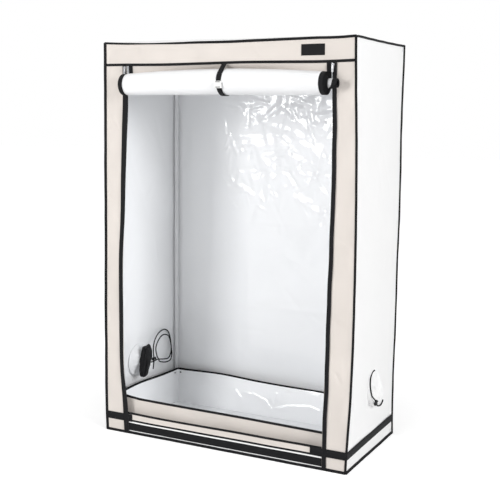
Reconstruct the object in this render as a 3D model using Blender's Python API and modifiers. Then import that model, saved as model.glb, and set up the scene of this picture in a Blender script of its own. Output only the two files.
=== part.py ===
"""Indoor grow tent, 1.20 m wide, 0.60 m deep and 1.80 m high, with its door rolled up.

Metres, +Z up, +X to the right and +Y to the back of someone who faces the doorway.
The origin is the centre of the tent's floor, on its underside.
Run with blender --background --python part.py, or from Blender's text editor.
"""
import math

import bmesh
import bpy
import numpy as np
from mathutils import Matrix, Vector

# Whole tent, measured over the cloth
WIDTH = 1.200
DEPTH = 0.600
HEIGHT = 1.800

# Cloth and the gap left between neighbours
CLOTH = 0.0015
SEAM_GAP = 0.0003
CUT_OVERRUN = 0.010

# Steel poles: tube radius and wall, the height where a post splits, its swaged neck
POLE_RADIUS = 0.0110
POLE_WALL = 0.0010
POLE_SIDES = 16
POST_JOINT_HEIGHT = 0.896
NECK_LENGTH = 0.050
NECK_SHOULDER = 0.004
PLUG_FIT = 0.0003

# Hanging bars: they lie across the tent and hook over the front and back top rails
BAR_RADIUS = 0.0090
BAR_WALL = 0.0010
BAR_REST_X = 0.200
SADDLE_WALL = 0.0018
SADDLE_EASE = 0.0003
SADDLE_LENGTH = 0.026
SADDLE_DROP = 0.003
SADDLE_SIDES = 20

# Moulded corners: a block whose faces stand a little proud of the poles, and three plugs
CORNER_LAND = 0.0005
CORNER_EDGE = 0.0030
PLUG_LENGTH = 0.030
PLUG_DRAFT = 0.0005
PLUG_SIDES = 12

# Black binding tape along the edges
BINDING_THICKNESS = 0.0012
BINDING_WIDTH = 0.0075

# Front: header depth below the roof, widths of the stiles beside the doorway, and the sill
HEADER_DEPTH = 0.100
HEADER_TAPE_WIDTH = 0.009
STILE_WIDTH_LEFT = 0.113
STILE_WIDTH_RIGHT = 0.097
SILL_HEIGHT = 0.100
SILL_BAND_LOW = 0.016
SILL_BAND_HIGH = 0.052
SILL_CORD_LOW = 0.0585
SILL_CORD_HIGH = 0.0660
SILL_TAPE_WIDTH = 0.009
SILL_RELIEF = 0.0012

# Webbing band round the base
WEBBING_LOW = 0.060
WEBBING_HIGH = 0.095
WEBBING_THICKNESS = 0.0012
WEBBING_END_LEFT = 0.018
WEBBING_END_RIGHT = 0.060

# Zips: tape, coil bead, slider with its pin, and pull tab
ZIP_TAPE_WIDTH = 0.020
ZIP_TAPE_THICKNESS = 0.0010
ZIP_FOOT = 0.004
COIL_RADIUS = 0.0020
COIL_INSET = 0.0035
COIL_STEPS = 6
SLIDER_WIDTH = 0.0120
SLIDER_NOSE_WIDTH = 0.0076
SLIDER_LENGTH = 0.0220
SLIDER_THICKNESS = 0.0052
SLIDER_TOP_GAP = 0.0025
SLIDER_BEVEL = 0.0006
EAR_THICKNESS = 0.0016
EAR_LENGTH = 0.0060
EAR_REACH = 0.0040
PIN_RADIUS = 0.0008
PIN_SIDES = 12
TAB_EYE_RADIUS = 0.0020
TAB_EYE_FIT = 0.0003
TAB_EYE_WIDTH = 0.0050
TAB_WIDTH = 0.0080
TAB_LENGTH = 0.0300
TAB_THICKNESS = 0.0014
TAB_SLOT_WIDTH = 0.0032
TAB_SLOT_LENGTH = 0.0110
TAB_RIM = 0.0035

# Door: one sheet, seamed under the header and wound outwards into a roll
DOOR_OVERLAP = 0.055
DOOR_SHEET = 0.0012
DOOR_LEFT_CLEARANCE = 0.012
DOOR_RIGHT_CLEARANCE = 0.0065
DOOR_TAPE_WIDTH = 0.020
DOOR_SEAM_GAP = 0.0006
ROLL_DROP = 0.086
ROLL_STAND_OFF_ENDS = 0.040
ROLL_STAND_OFF_MIDDLE = -0.005
ROLL_RISE_MIDDLE = 0.010
ROLL_RADIUS_ENDS = 0.0475
ROLL_RADIUS_MIDDLE = 0.0590
ROLL_CORE_RADIUS = 0.011
ROLL_SLIP = 0.050
ROLL_SLIP_RADIUS = 0.0185
ROLL_POINTS_PER_TURN = 13
ROLL_STATIONS = 7

# Strap that holds the roll, and its side-release buckle
STRAP_X = 0.010
STRAP_MEETS_BEFORE = 0.87
STRAP_WIDTH = 0.0240
STRAP_THICKNESS = 0.0014
STRAP_SEAT = 0.0014
STRAP_LAP = 0.012
BUCKLE_WIDTH = 0.0340
BUCKLE_THICKNESS = 0.0080
BUCKLE_WALL = 0.0013
BUCKLE_DROP = 0.004
SOCKET_LENGTH = 0.0200
PLUG_BASE_LENGTH = 0.0100
BAR_SLOT_LENGTH = 0.0034
BAR_SLOT_RIM = 0.0026
BUCKLE_EDGE = 0.0012
PRONG_LENGTH = 0.0160
PRONG_WIDTH = 0.0036
PRONG_HEAD = 0.0050
PRONG_FIT = 0.0006
RELEASE_WINDOW = 0.0080

# Spill tray standing on the tent floor
TRAY_HEIGHT = 0.160
TRAY_CLOTH = 0.0015
TRAY_HEM_HEIGHT = 0.010
TRAY_HEM_THICKNESS = 0.0030

# Ports: hole, collar and where each lies
PORT_HOLE_RADIUS = 0.070
PORT_COLLAR_RADIUS = 0.098
PORT_SIDES = 28
LEFT_PORT_Y = -0.060
LEFT_PORT_Z = 0.285
RIGHT_PORT_Y = 0.000
RIGHT_PORT_Z = 0.300
ROOF_PORT_X = 0.000
ROOF_PORT_Y = 0.120

# Inner sleeve of the left port: a gathered cone and the bag that hangs from it
SLEEVE_NECK_RADIUS = 0.026
SLEEVE_REACH = 0.050
BAG_TOP = 0.374
BAG_LENGTH = 0.168
BAG_STAND_OFF = 0.065
BAG_WIDTH = 0.080
BAG_DEPTH = 0.060
BAG_LEAN = 0.044
BAG_TOP_Y = 0.008
BAG_FOLDS = 7
BAG_SIDES = 42
BAG_FOLD_SHARE = 0.13

# Outer cuffs, gathered shut: radius of the hem, and its height over the cloth
CUFF_HEM_RADIUS = 0.081
CUFF_HEIGHT_TOP = 0.004
CUFF_HEIGHT_BOTTOM = 0.0375
ROOF_CUFF_HEIGHT = 0.013
CUFF_GATHERS = 14
CUFF_GATHER_SHARE = 0.18

# Drawcords and their locks
CORD_RADIUS = 0.0030
CORD_POINTS_LEFT = 80
CORD_POINTS_RIGHT = 44
CORD_SEAT = 0.0004
CORD_HOLE_FIT = 0.0009
CUFF_CORD_START_DEG = 84.0
CUFF_CORD_END_DEG = 304.0
CUFF_LOCK_DEG = 216.0
CUFF_LOCK_LIFT = 0.0090
CUFF_LOCK_SPREAD_DEG = 17.0
LOCK_RADIUS = 0.0080
LOCK_WAIST_RADIUS = 0.0066
LOCK_LENGTH = 0.0220
LOCK_ROUND = 0.0016
LOCK_SIDES = 20
BUTTON_RADIUS = 0.0048
BUTTON_CAP = 0.0040
BUTTON_TRAVEL = 0.0030
BUTTON_FIT = 0.0004
BUTTON_STEM = 0.0050
BUTTON_ROUND = 0.0010
LEFT_LOCK_PLACE = (0.072, 0.038, 0.005)

# The left drawcord's route, from the centre of its port: out of the sleeve, round twice and through the lock
LEFT_CORD_ROUTE = [
    (0.067, 0.023, -0.009), (0.065, 0.050, -0.011), (0.064, 0.089, -0.010), (0.050, 0.162, -0.027),
    (0.036, 0.232, -0.038), (0.026, 0.272, -0.016), (0.020, 0.282, 0.022), (0.020, 0.262, 0.066),
    (0.028, 0.210, 0.088), (0.042, 0.154, 0.092), (0.059, 0.097, 0.080), (0.076, 0.052, 0.060),
    (0.088, 0.036, 0.037), (0.088, 0.046, 0.014), (0.078, 0.074, -0.004), (0.056, 0.118, -0.029),
    (0.040, 0.197, -0.052), (0.026, 0.265, -0.057), (0.016, 0.296, -0.036), (0.010, 0.300, 0.003),
    (0.008, 0.294, 0.047), (0.008, 0.274, 0.088), (0.012, 0.228, 0.109), (0.026, 0.155, 0.106),
    (0.044, 0.094, 0.088), (0.059, 0.056, 0.063), (0.069, 0.040, 0.037), (0.072, 0.038, 0.021),
    (0.072, 0.038, 0.005), (0.072, 0.038, -0.011), (0.073, 0.035, -0.027), (0.074, 0.029, -0.045),
]

# Colours
BEIGE = (0.80, 0.76, 0.72)
WHITE = (0.90, 0.91, 0.92)
BLACK = (0.020, 0.020, 0.022)
PALE_GREY = (0.72, 0.73, 0.74)
STEEL = (0.78, 0.79, 0.80)

# Places worked out from the sizes above
HALF_WIDTH = WIDTH / 2
HALF_DEPTH = DEPTH / 2
CORNER_HALF = POLE_RADIUS + SADDLE_EASE + SADDLE_WALL + CORNER_LAND
POLE_INSET = CLOTH + SEAM_GAP + CORNER_HALF
POLE_X = HALF_WIDTH - POLE_INSET
POLE_Y = HALF_DEPTH - POLE_INSET
POLE_LOW = POLE_INSET
POLE_HIGH = HEIGHT - POLE_INSET
POLE_BORE_FLAT = (POLE_RADIUS - POLE_WALL) * math.cos(math.pi / POLE_SIDES)
PLUG_RADIUS = POLE_BORE_FLAT - PLUG_FIT
WALL_LOW = CLOTH + SEAM_GAP
WALL_HIGH = HEIGHT - CLOTH - SEAM_GAP
HEADER_HEIGHT = HEIGHT - HEADER_DEPTH
DOORWAY_LEFT = -HALF_WIDTH + STILE_WIDTH_LEFT
DOORWAY_RIGHT = HALF_WIDTH - STILE_WIDTH_RIGHT
FRONT = -HALF_DEPTH
BINDING_FRONT = FRONT - SEAM_GAP - BINDING_THICKNESS
WEBBING_FRONT = BINDING_FRONT - SEAM_GAP - WEBBING_THICKNESS
ZIP_BACK = WEBBING_FRONT - SEAM_GAP
ZIP_FRONT = ZIP_BACK - ZIP_TAPE_THICKNESS
HEADER_TAPE_LOW = HEADER_HEIGHT - HEADER_TAPE_WIDTH / 2
ZIP_TOP = HEADER_TAPE_LOW - SEAM_GAP
ZIP_LEFT_X = DOORWAY_LEFT - COIL_INSET
ZIP_RIGHT_X = DOORWAY_RIGHT + COIL_INSET
SLIDER_BACK = ZIP_FRONT - SEAM_GAP
SLIDER_FRONT = SLIDER_BACK - SLIDER_THICKNESS
SLIDER_TOP = ZIP_TOP - SLIDER_TOP_GAP
SLIDER_CENTRE = SLIDER_TOP - SLIDER_LENGTH / 2
PIN_Y = SLIDER_FRONT - EAR_REACH / 2 - SEAM_GAP
PIN_Z = SLIDER_CENTRE + SLIDER_LENGTH / 4
DOOR_TOP = HEADER_HEIGHT - SEAM_GAP - DOOR_SHEET / 2
DOOR_Y = FRONT + CLOTH / 2
DOOR_LEFT = DOORWAY_LEFT + DOOR_LEFT_CLEARANCE
DOOR_RIGHT = DOORWAY_RIGHT - DOOR_RIGHT_CLEARANCE
ROLL_HEIGHT = HEADER_HEIGHT - ROLL_DROP
DOOR_LENGTH = HEADER_HEIGHT - SILL_HEIGHT + DOOR_OVERLAP
BUCKLE_TOP = ROLL_HEIGHT - BUCKLE_DROP + (SOCKET_LENGTH + PLUG_BASE_LENGTH) / 2
BUCKLE_FOOT = BUCKLE_TOP - SOCKET_LENGTH - PLUG_BASE_LENGTH


def clear_scene():
    """Remove every object, and the meshes and curves that nothing uses any more."""
    for obj in list(bpy.data.objects):
        bpy.data.objects.remove(obj, do_unlink=True)


def new_collection(name):
    """A collection under the scene's own."""
    collection = bpy.data.collections.new(name)
    bpy.context.scene.collection.children.link(collection)
    return collection


def material(name, colour, roughness, metallic=0):
    """A Principled material of one colour."""
    made = bpy.data.materials.new(name)
    made.use_nodes = True
    shader = made.node_tree.nodes["Principled BSDF"]
    shader.inputs["Base Color"].default_value = (*colour, 1)
    shader.inputs["Roughness"].default_value = roughness
    shader.inputs["Metallic"].default_value = metallic
    return made


clear_scene()
PARTS = new_collection("indoor_grow_tent")
CUTTERS = new_collection("cutters_and_joined_shapes")
BEIGE_CLOTH = material("beige_cloth", BEIGE, 0.75)
WHITE_FILM = material("white_film", WHITE, 0.30)
WHITE_CLOTH = material("white_cloth", WHITE, 0.60)
BLACK_TAPE = material("black_tape", BLACK, 0.80)
BLACK_CLOTH = material("black_cloth", BLACK, 0.85)
WHITE_ENAMEL = material("white_enamel", WHITE, 0.35)
WHITE_NYLON = material("white_nylon", PALE_GREY, 0.45)
ZIP_METAL = material("zip_metal", STEEL, 0.25, 1)
BLACK_NYLON = material("black_nylon", BLACK, 0.40)


# Helpers that make and join shapes


def add_mesh(name, mesh, finish=None):
    """Link a mesh as a part, or as a helper shape where no finish is given."""
    obj = bpy.data.objects.new(name, mesh)
    if finish is None:
        CUTTERS.objects.link(obj)
        obj.hide_render = True
        obj.display_type = "WIRE"
    else:
        PARTS.objects.link(obj)
        mesh.materials.append(finish)
    return obj


def box(name, low, high, finish=None):
    """A box between two corners."""
    low = Vector(low)
    high = Vector(high)
    size = high - low
    placement = Matrix.Translation((low + high) / 2) @ Matrix.Diagonal((*size, 1))
    shape = bmesh.new()
    bmesh.ops.create_cube(shape, size=1, matrix=placement)
    mesh = bpy.data.meshes.new(name)
    shape.to_mesh(mesh)
    shape.free()
    return add_mesh(name, mesh, finish)


def along(axis):
    """The turn that brings local +Z to a direction."""
    return Vector(axis).normalized().to_track_quat("Z", "Y").to_matrix().to_4x4()


def rod(name, start, axis, length, radius, sides, finish=None, end_radius=None):
    """A round bar, or a cone where its end radius differs, from its start along an axis."""
    if end_radius is None:
        end_radius = radius
    middle = Vector(start) + Vector(axis).normalized() * (length / 2)
    shape = bmesh.new()
    bmesh.ops.create_cone(shape, cap_ends=True, segments=sides, radius1=radius, radius2=end_radius,
                          depth=length, matrix=Matrix.Translation(middle) @ along(axis))
    mesh = bpy.data.meshes.new(name)
    shape.to_mesh(mesh)
    shape.free()
    return add_mesh(name, mesh, finish)


def boolean(obj, other, operation="DIFFERENCE"):
    """Cut or join another shape, as a modifier."""
    step = obj.modifiers.new(operation.lower(), "BOOLEAN")
    step.operation = operation
    step.object = other
    step.solver = "EXACT"
    return obj


def bevel(obj, width, segments=2, angle=math.radians(35)):
    """Round the edges sharper than an angle."""
    step = obj.modifiers.new("rounded_edges", "BEVEL")
    step.width = width
    step.segments = segments
    step.limit_method = "ANGLE"
    step.angle_limit = angle
    return obj


def smooth(obj):
    """Shade round faces smooth and keep the edges sharp."""
    obj.data.shade_smooth()
    obj.data.set_sharp_from_angle(angle=math.radians(35))
    return obj


def turned(name, profile, finish, place, axis, sides, closed):
    """Turn a profile of (radius, height) about an axis; it runs down its outer side."""
    points = [(radius, 0, height) for radius, height in profile]
    edges = [(i, i + 1) for i in range(len(points) - 1)]
    if closed:
        edges.append((len(points) - 1, 0))
    mesh = bpy.data.meshes.new(name)
    mesh.from_pydata(points, edges, [])
    obj = add_mesh(name, mesh, finish)
    screw = obj.modifiers.new("turn", "SCREW")
    screw.steps = sides
    screw.render_steps = sides
    screw.use_merge_vertices = True
    screw.merge_threshold = 0.0001
    screw.use_smooth_shade = True
    obj.matrix_world = Matrix.Translation(place) @ along(axis)
    return obj


def settled(obj):
    """Replace an object's modifiers by the mesh that they make, in world space."""
    bpy.context.view_layer.update()
    graph = bpy.context.evaluated_depsgraph_get()
    mesh = bpy.data.meshes.new_from_object(obj.evaluated_get(graph))
    mesh.transform(obj.matrix_world)
    shape = bmesh.new()
    shape.from_mesh(mesh)
    bmesh.ops.remove_doubles(shape, verts=shape.verts, dist=0.00001)
    bmesh.ops.recalc_face_normals(shape, faces=shape.faces)
    shape.to_mesh(mesh)
    shape.free()
    obj.modifiers.clear()
    obj.data = mesh
    obj.matrix_world = Matrix.Identity(4)
    return obj


def plate(name, outline, thickness, turn, place, finish=None):
    """A flat outline given thickness to both sides, as a welded mesh."""
    curve = bpy.data.curves.new(name + "_outline", "CURVE")
    curve.dimensions = "2D"
    curve.fill_mode = "BOTH"
    curve.extrude = thickness / 2
    line = curve.splines.new("POLY")
    line.points.add(len(outline) - 1)
    for point, (u, v) in zip(line.points, outline):
        point.co = (u, v, 0, 1)
    line.use_cyclic_u = True
    drawn = bpy.data.objects.new(name + "_outline", curve)
    CUTTERS.objects.link(drawn)
    drawn.matrix_world = Matrix.Translation(place) @ turn
    bpy.context.view_layer.update()
    graph = bpy.context.evaluated_depsgraph_get()
    mesh = bpy.data.meshes.new_from_object(drawn.evaluated_get(graph))
    shape = bmesh.new()
    shape.from_mesh(mesh)
    bmesh.ops.remove_doubles(shape, verts=shape.verts, dist=0.00001)
    bmesh.ops.recalc_face_normals(shape, faces=shape.faces)
    shape.to_mesh(mesh)
    shape.free()
    mesh.materials.clear()
    obj = add_mesh(name, mesh, finish)
    obj.matrix_world = drawn.matrix_world.copy()
    bpy.data.objects.remove(drawn)
    return obj


# Turns for outlines drawn in (Y, Z) and given width along X, and in (X, Z) with depth along Y
SIDE_VIEW = Matrix(((0, 0, 1, 0), (1, 0, 0, 0), (0, 1, 0, 0), (0, 0, 0, 1)))
FRONT_VIEW = Matrix(((1, 0, 0, 0), (0, 0, -1, 0), (0, 1, 0, 0), (0, 0, 0, 1)))


def grid_sheet(name, points, finish, thickness):
    """A grid of points as an open sheet, given thickness to both sides."""
    rows, columns = points.shape[:2]
    corner = np.arange(rows * columns).reshape(rows, columns)
    faces = np.stack([corner[:-1, :-1], corner[1:, :-1], corner[1:, 1:], corner[:-1, 1:]], axis=-1)
    mesh = bpy.data.meshes.new(name)
    mesh.from_pydata(points.reshape(-1, 3).tolist(), [], faces.reshape(-1, 4).tolist())
    obj = add_mesh(name, mesh, finish)
    wall = obj.modifiers.new("sheet", "SOLIDIFY")
    wall.thickness = thickness
    wall.offset = 0
    wall.use_even_offset = True
    return obj


def lofted(name, rings, finish=None):
    """A closed form through rings of points, with a flat cap on the first and the last ring."""
    count, sides = rings.shape[:2]
    corner = np.arange(count * sides).reshape(count, sides)
    ahead = np.roll(corner, -1, axis=1)
    faces = np.stack([corner[:-1], ahead[:-1], ahead[1:], corner[1:]], axis=-1).reshape(-1, 4).tolist()
    faces.append(corner[0, ::-1].tolist())
    faces.append(corner[-1].tolist())
    mesh = bpy.data.meshes.new(name)
    mesh.from_pydata(rings.reshape(-1, 3).tolist(), [], faces)
    shape = bmesh.new()
    shape.from_mesh(mesh)
    bmesh.ops.recalc_face_normals(shape, faces=shape.faces)
    shape.to_mesh(mesh)
    shape.free()
    return add_mesh(name, mesh, finish)


def place_origin(obj, point):
    """Move an object's origin to a point and leave its shape where it is."""
    shift = obj.matrix_world.inverted() @ Vector(point)
    obj.data.transform(Matrix.Translation(-shift))
    obj.matrix_world = obj.matrix_world @ Matrix.Translation(shift)
    return obj


def smooth_route(points, count):
    """Points at equal steps along a smooth curve (Catmull and Rom's) through a route's points."""
    knots = np.asarray(points, dtype=float)
    padded = np.vstack([2 * knots[0] - knots[1], knots, 2 * knots[-1] - knots[-2]])
    samples = []
    share = np.linspace(0, 1, 40, endpoint=False)[:, None]
    for i in range(len(knots) - 1):
        a, b, c, d = padded[i:i + 4]
        samples.append(0.5 * (2 * b + (c - a) * share + (2 * a - 5 * b + 4 * c - d) * share ** 2
                              + (3 * b - a - 3 * c + d) * share ** 3))
    dense = np.vstack(samples + [knots[-1:]])
    step = np.linalg.norm(np.diff(dense, axis=0), axis=1)
    run = np.concatenate([[0], np.cumsum(step)])
    wanted = np.linspace(0, run[-1], count)
    return np.stack([np.interp(wanted, run, dense[:, k]) for k in range(3)], axis=1), run[-1]


def least_gap(points, radius, skip):
    """The least gap between stretches of a tube that lie more than skip points apart."""
    apart = np.linalg.norm(points[:, None] - points[None], axis=2)
    index = np.arange(len(points))
    near = np.abs(index[:, None] - index[None]) <= skip
    apart[near] = np.inf
    return apart.min() - 2 * radius


def cord(name, points, finish):
    """A round cord along points, as a curve with filled ends."""
    curve = bpy.data.curves.new(name, "CURVE")
    curve.dimensions = "3D"
    curve.bevel_depth = CORD_RADIUS
    curve.bevel_resolution = 2
    curve.use_fill_caps = True
    line = curve.splines.new("POLY")
    line.points.add(len(points) - 1)
    for point, place in zip(line.points, points):
        point.co = (*place, 1)
    curve.materials.append(finish)
    obj = bpy.data.objects.new(name, curve)
    PARTS.objects.link(obj)
    return obj


# Frame: posts, rails and moulded corners


def pole(name, start, axis, length):
    """A plain length of pole."""
    inner = POLE_RADIUS - POLE_WALL
    profile = [(POLE_RADIUS, length), (POLE_RADIUS, 0), (inner, 0), (inner, length)]
    return turned(name, profile, WHITE_ENAMEL, start, axis, POLE_SIDES, closed=True)


def lower_post(name, x, y):
    """The lower half of a post, swaged at its top to plug into the upper half."""
    foot = POLE_LOW + CORNER_HALF + SEAM_GAP
    inner = POLE_RADIUS - POLE_WALL
    length = POST_JOINT_HEIGHT - foot
    neck_top = length + NECK_LENGTH
    profile = [(PLUG_RADIUS, neck_top), (PLUG_RADIUS, length), (POLE_RADIUS, length - NECK_SHOULDER / 2),
               (POLE_RADIUS, 0), (inner, 0), (inner, length - NECK_SHOULDER),
               (PLUG_RADIUS - POLE_WALL, length), (PLUG_RADIUS - POLE_WALL, neck_top)]
    return turned(name, profile, WHITE_ENAMEL, (x, y, foot), (0, 0, 1), POLE_SIDES, closed=True)


def upper_post(name, x, y):
    """The upper half of a post."""
    foot = POST_JOINT_HEIGHT + SEAM_GAP
    length = POLE_HIGH - CORNER_HALF - SEAM_GAP - foot
    return pole(name, (x, y, foot), (0, 0, 1), length)


def rail(name, axis, place):
    """A rail between two moulded corners; its place is its middle."""
    reach = POLE_X if axis[0] else POLE_Y
    half = reach - CORNER_HALF - SEAM_GAP
    start = Vector(place) - Vector(axis) * half
    return pole(name, start, axis, 2 * half)


def corner(name, x, y, z):
    """A moulded corner: a rounded block with a drafted plug into each of three poles."""
    centre = Vector((x, y, z))
    reach = Vector((CORNER_HALF, CORNER_HALF, CORNER_HALF))
    block = box(name, centre - reach, centre + reach, WHITE_NYLON)
    bevel(block, CORNER_EDGE)
    inward = (Vector((-math.copysign(1, x), 0, 0)), Vector((0, -math.copysign(1, y), 0)),
              Vector((0, 0, 1 if z < HEIGHT / 2 else -1)))
    for index, axis in enumerate(inward):
        plug = rod(f"{name}_plug_{index}", centre, axis, CORNER_HALF + PLUG_LENGTH, PLUG_RADIUS,
                   PLUG_SIDES, end_radius=PLUG_RADIUS - PLUG_DRAFT)
        boolean(block, plug, "UNION")
    return block


def make_frame():
    """Four posts in two halves, eight rails and eight moulded corners."""
    for side, x in (("left", -POLE_X), ("right", POLE_X)):
        for end, y in (("front", -POLE_Y), ("back", POLE_Y)):
            lower_post(f"post_lower_{end}_{side}", x, y)
            upper_post(f"post_upper_{end}_{side}", x, y)
            corner(f"corner_bottom_{end}_{side}", x, y, POLE_LOW)
            corner(f"corner_top_{end}_{side}", x, y, POLE_HIGH)
    for level, z in (("bottom", POLE_LOW), ("top", POLE_HIGH)):
        rail(f"rail_{level}_front", (1, 0, 0), (0, -POLE_Y, z))
        rail(f"rail_{level}_back", (1, 0, 0), (0, POLE_Y, z))
        rail(f"rail_{level}_left", (0, 1, 0), (-POLE_X, 0, z))
        rail(f"rail_{level}_right", (0, 1, 0), (POLE_X, 0, z))


def hanging_bar(name, x):
    """A tube across the tent with a half-round saddle over the rail at each end."""
    clear = (POLE_RADIUS + SADDLE_EASE) / math.cos(math.pi / SADDLE_SIDES)
    saddle_radius = clear + SADDLE_WALL
    tube = rod(name, (x, -POLE_Y, POLE_HIGH), (0, 1, 0), 2 * POLE_Y, BAR_RADIUS, POLE_SIDES, WHITE_ENAMEL)
    for y in (-POLE_Y, POLE_Y):
        start = (x - SADDLE_LENGTH / 2, y, POLE_HIGH)
        saddle = rod(f"{name}_saddle_{y:+.2f}", start, (1, 0, 0), SADDLE_LENGTH, saddle_radius, SADDLE_SIDES)
        boolean(tube, saddle, "UNION")
    for y in (-POLE_Y, POLE_Y):
        outward = math.copysign(1, y)
        start = (x - SADDLE_LENGTH / 2 - CUT_OVERRUN, y, POLE_HIGH)
        bed = rod(f"{name}_rail_{y:+.2f}", start, (1, 0, 0), SADDLE_LENGTH + 2 * CUT_OVERRUN, clear,
                  SADDLE_SIDES)
        boolean(tube, bed)
        outer = y + outward * (saddle_radius + CUT_OVERRUN)
        inner = y - outward * clear
        below = box(f"{name}_below_{y:+.2f}",
                    (x - SADDLE_LENGTH / 2 - CUT_OVERRUN, min(outer, inner), POLE_HIGH - saddle_radius
                     - CUT_OVERRUN),
                    (x + SADDLE_LENGTH / 2 + CUT_OVERRUN, max(outer, inner), POLE_HIGH - SADDLE_DROP))
        boolean(tube, below)
    bore = rod(f"{name}_bore", (x, -POLE_Y, POLE_HIGH), (0, 1, 0), 2 * POLE_Y, BAR_RADIUS - BAR_WALL,
               POLE_SIDES)
    boolean(tube, bore)
    place_origin(tube, (x, 0, POLE_HIGH))
    return tube


# Cover: the cloth panels, their bindings and the band round the base


def port_hole(panel, centre, axis):
    """Cut a port's round hole through a panel."""
    start = Vector(centre) - Vector(axis) * CUT_OVERRUN
    hole = rod(panel.name + "_port_hole", start, axis, 2 * CUT_OVERRUN, PORT_HOLE_RADIUS, PORT_SIDES)
    boolean(panel, hole)


def make_panels():
    """Floor, roof, back, two sides and the four pieces of the front, seam to seam."""
    box("floor_panel", (-HALF_WIDTH, -HALF_DEPTH, 0), (HALF_WIDTH, HALF_DEPTH, CLOTH), BLACK_CLOTH)
    roof = box("roof_panel", (-HALF_WIDTH, -HALF_DEPTH, HEIGHT - CLOTH), (HALF_WIDTH, HALF_DEPTH, HEIGHT),
               WHITE_CLOTH)
    port_hole(roof, (ROOF_PORT_X, ROOF_PORT_Y, HEIGHT), (0, 0, 1))
    box("back_panel", (-HALF_WIDTH, HALF_DEPTH - CLOTH, WALL_LOW), (HALF_WIDTH, HALF_DEPTH, WALL_HIGH),
        WHITE_FILM)
    side_depth = HALF_DEPTH - CLOTH - SEAM_GAP
    left = box("left_panel", (-HALF_WIDTH, -side_depth, WALL_LOW), (-HALF_WIDTH + CLOTH, side_depth, WALL_HIGH),
               WHITE_FILM)
    port_hole(left, (-HALF_WIDTH, LEFT_PORT_Y, LEFT_PORT_Z), (1, 0, 0))
    right = box("right_panel", (HALF_WIDTH - CLOTH, -side_depth, WALL_LOW), (HALF_WIDTH, side_depth, WALL_HIGH),
                WHITE_CLOTH)
    port_hole(right, (HALF_WIDTH, RIGHT_PORT_Y, RIGHT_PORT_Z), (1, 0, 0))
    box("front_header", (-HALF_WIDTH, FRONT, HEADER_HEIGHT), (HALF_WIDTH, FRONT + CLOTH, WALL_HIGH), BEIGE_CLOTH)
    stile_top = HEADER_HEIGHT - SEAM_GAP
    box("front_stile_left", (-HALF_WIDTH, FRONT, WALL_LOW), (DOORWAY_LEFT, FRONT + CLOTH, stile_top),
        BEIGE_CLOTH)
    box("front_stile_right", (DOORWAY_RIGHT, FRONT, WALL_LOW), (HALF_WIDTH, FRONT + CLOTH, stile_top),
        BEIGE_CLOTH)


def make_sill():
    """The low front wall of the doorway, with its band, its cord and its top tape in relief."""
    proud = FRONT - SILL_RELIEF
    back = FRONT + CLOTH
    tape_low = SILL_HEIGHT - SILL_TAPE_WIDTH
    outline = [
        (back, WALL_LOW), (back, tape_low), (back + SILL_RELIEF, tape_low), (back + SILL_RELIEF, SILL_HEIGHT),
        (proud, SILL_HEIGHT), (proud, tape_low), (FRONT, tape_low), (FRONT, SILL_CORD_HIGH),
        (proud, SILL_CORD_HIGH), (proud, SILL_CORD_LOW), (FRONT, SILL_CORD_LOW), (FRONT, SILL_BAND_HIGH),
        (proud, SILL_BAND_HIGH), (proud, SILL_BAND_LOW), (FRONT, SILL_BAND_LOW), (FRONT, WALL_LOW),
    ]
    low = DOORWAY_LEFT + SEAM_GAP
    high = DOORWAY_RIGHT - SEAM_GAP
    return plate("door_sill", outline, high - low, SIDE_VIEW, ((low + high) / 2, 0, 0), BEIGE_CLOTH)


def make_edge_binding():
    """Angled tape on all twelve edges and across the header seam, as one sewn network."""
    skin = SEAM_GAP + BINDING_THICKNESS
    foot = WALL_LOW
    outer_x = HALF_WIDTH + skin
    outer_y = HALF_DEPTH + skin
    outer_z = HEIGHT + skin
    over_x = outer_x + CUT_OVERRUN
    over_y = outer_y + CUT_OVERRUN
    shell = box("edge_binding", (-outer_x, -outer_y, foot), (outer_x, outer_y, outer_z), BLACK_TAPE)
    inside = box("binding_inside", (-HALF_WIDTH - SEAM_GAP, -HALF_DEPTH - SEAM_GAP, foot - CUT_OVERRUN),
                 (HALF_WIDTH + SEAM_GAP, HALF_DEPTH + SEAM_GAP, HEIGHT + SEAM_GAP))
    clear_x = outer_x - BINDING_WIDTH
    clear_y = outer_y - BINDING_WIDTH
    low = foot + BINDING_WIDTH
    high = outer_z - BINDING_WIDTH
    header_low = HEADER_TAPE_LOW
    header_high = HEADER_TAPE_LOW + HEADER_TAPE_WIDTH
    windows = [
        ("top", (-clear_x, -clear_y, HEIGHT - CUT_OVERRUN), (clear_x, clear_y, outer_z + CUT_OVERRUN)),
        ("sides", (-over_x, -clear_y, low), (over_x, clear_y, high)),
        ("back", (-clear_x, 0, low), (clear_x, over_y, high)),
        ("doorway", (-clear_x, -over_y, low), (clear_x, 0, header_low)),
        ("header", (-clear_x, -over_y, header_high), (clear_x, 0, high)),
    ]
    boolean(shell, inside)
    for name, first, second in windows:
        boolean(shell, box("binding_window_" + name, first, second))
    return shell


def make_base_webbing():
    """A flat band round the tent above the floor, open across the doorway."""
    skin = 2 * SEAM_GAP + BINDING_THICKNESS
    inner_x = HALF_WIDTH + skin
    inner_y = HALF_DEPTH + skin
    outer_x = inner_x + WEBBING_THICKNESS
    outer_y = inner_y + WEBBING_THICKNESS
    band = box("base_webbing", (-outer_x, -outer_y, WEBBING_LOW), (outer_x, outer_y, WEBBING_HIGH), BLACK_TAPE)
    over_low = WEBBING_LOW - CUT_OVERRUN
    over_high = WEBBING_HIGH + CUT_OVERRUN
    boolean(band, box("webbing_inside", (-inner_x, -inner_y, over_low), (inner_x, inner_y, over_high)))
    gap_left = DOORWAY_LEFT + WEBBING_END_LEFT
    gap_right = DOORWAY_RIGHT - WEBBING_END_RIGHT
    boolean(band, box("webbing_gap", (gap_left, -outer_y - CUT_OVERRUN, over_low), (gap_right, 0, over_high)))
    return band


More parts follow.
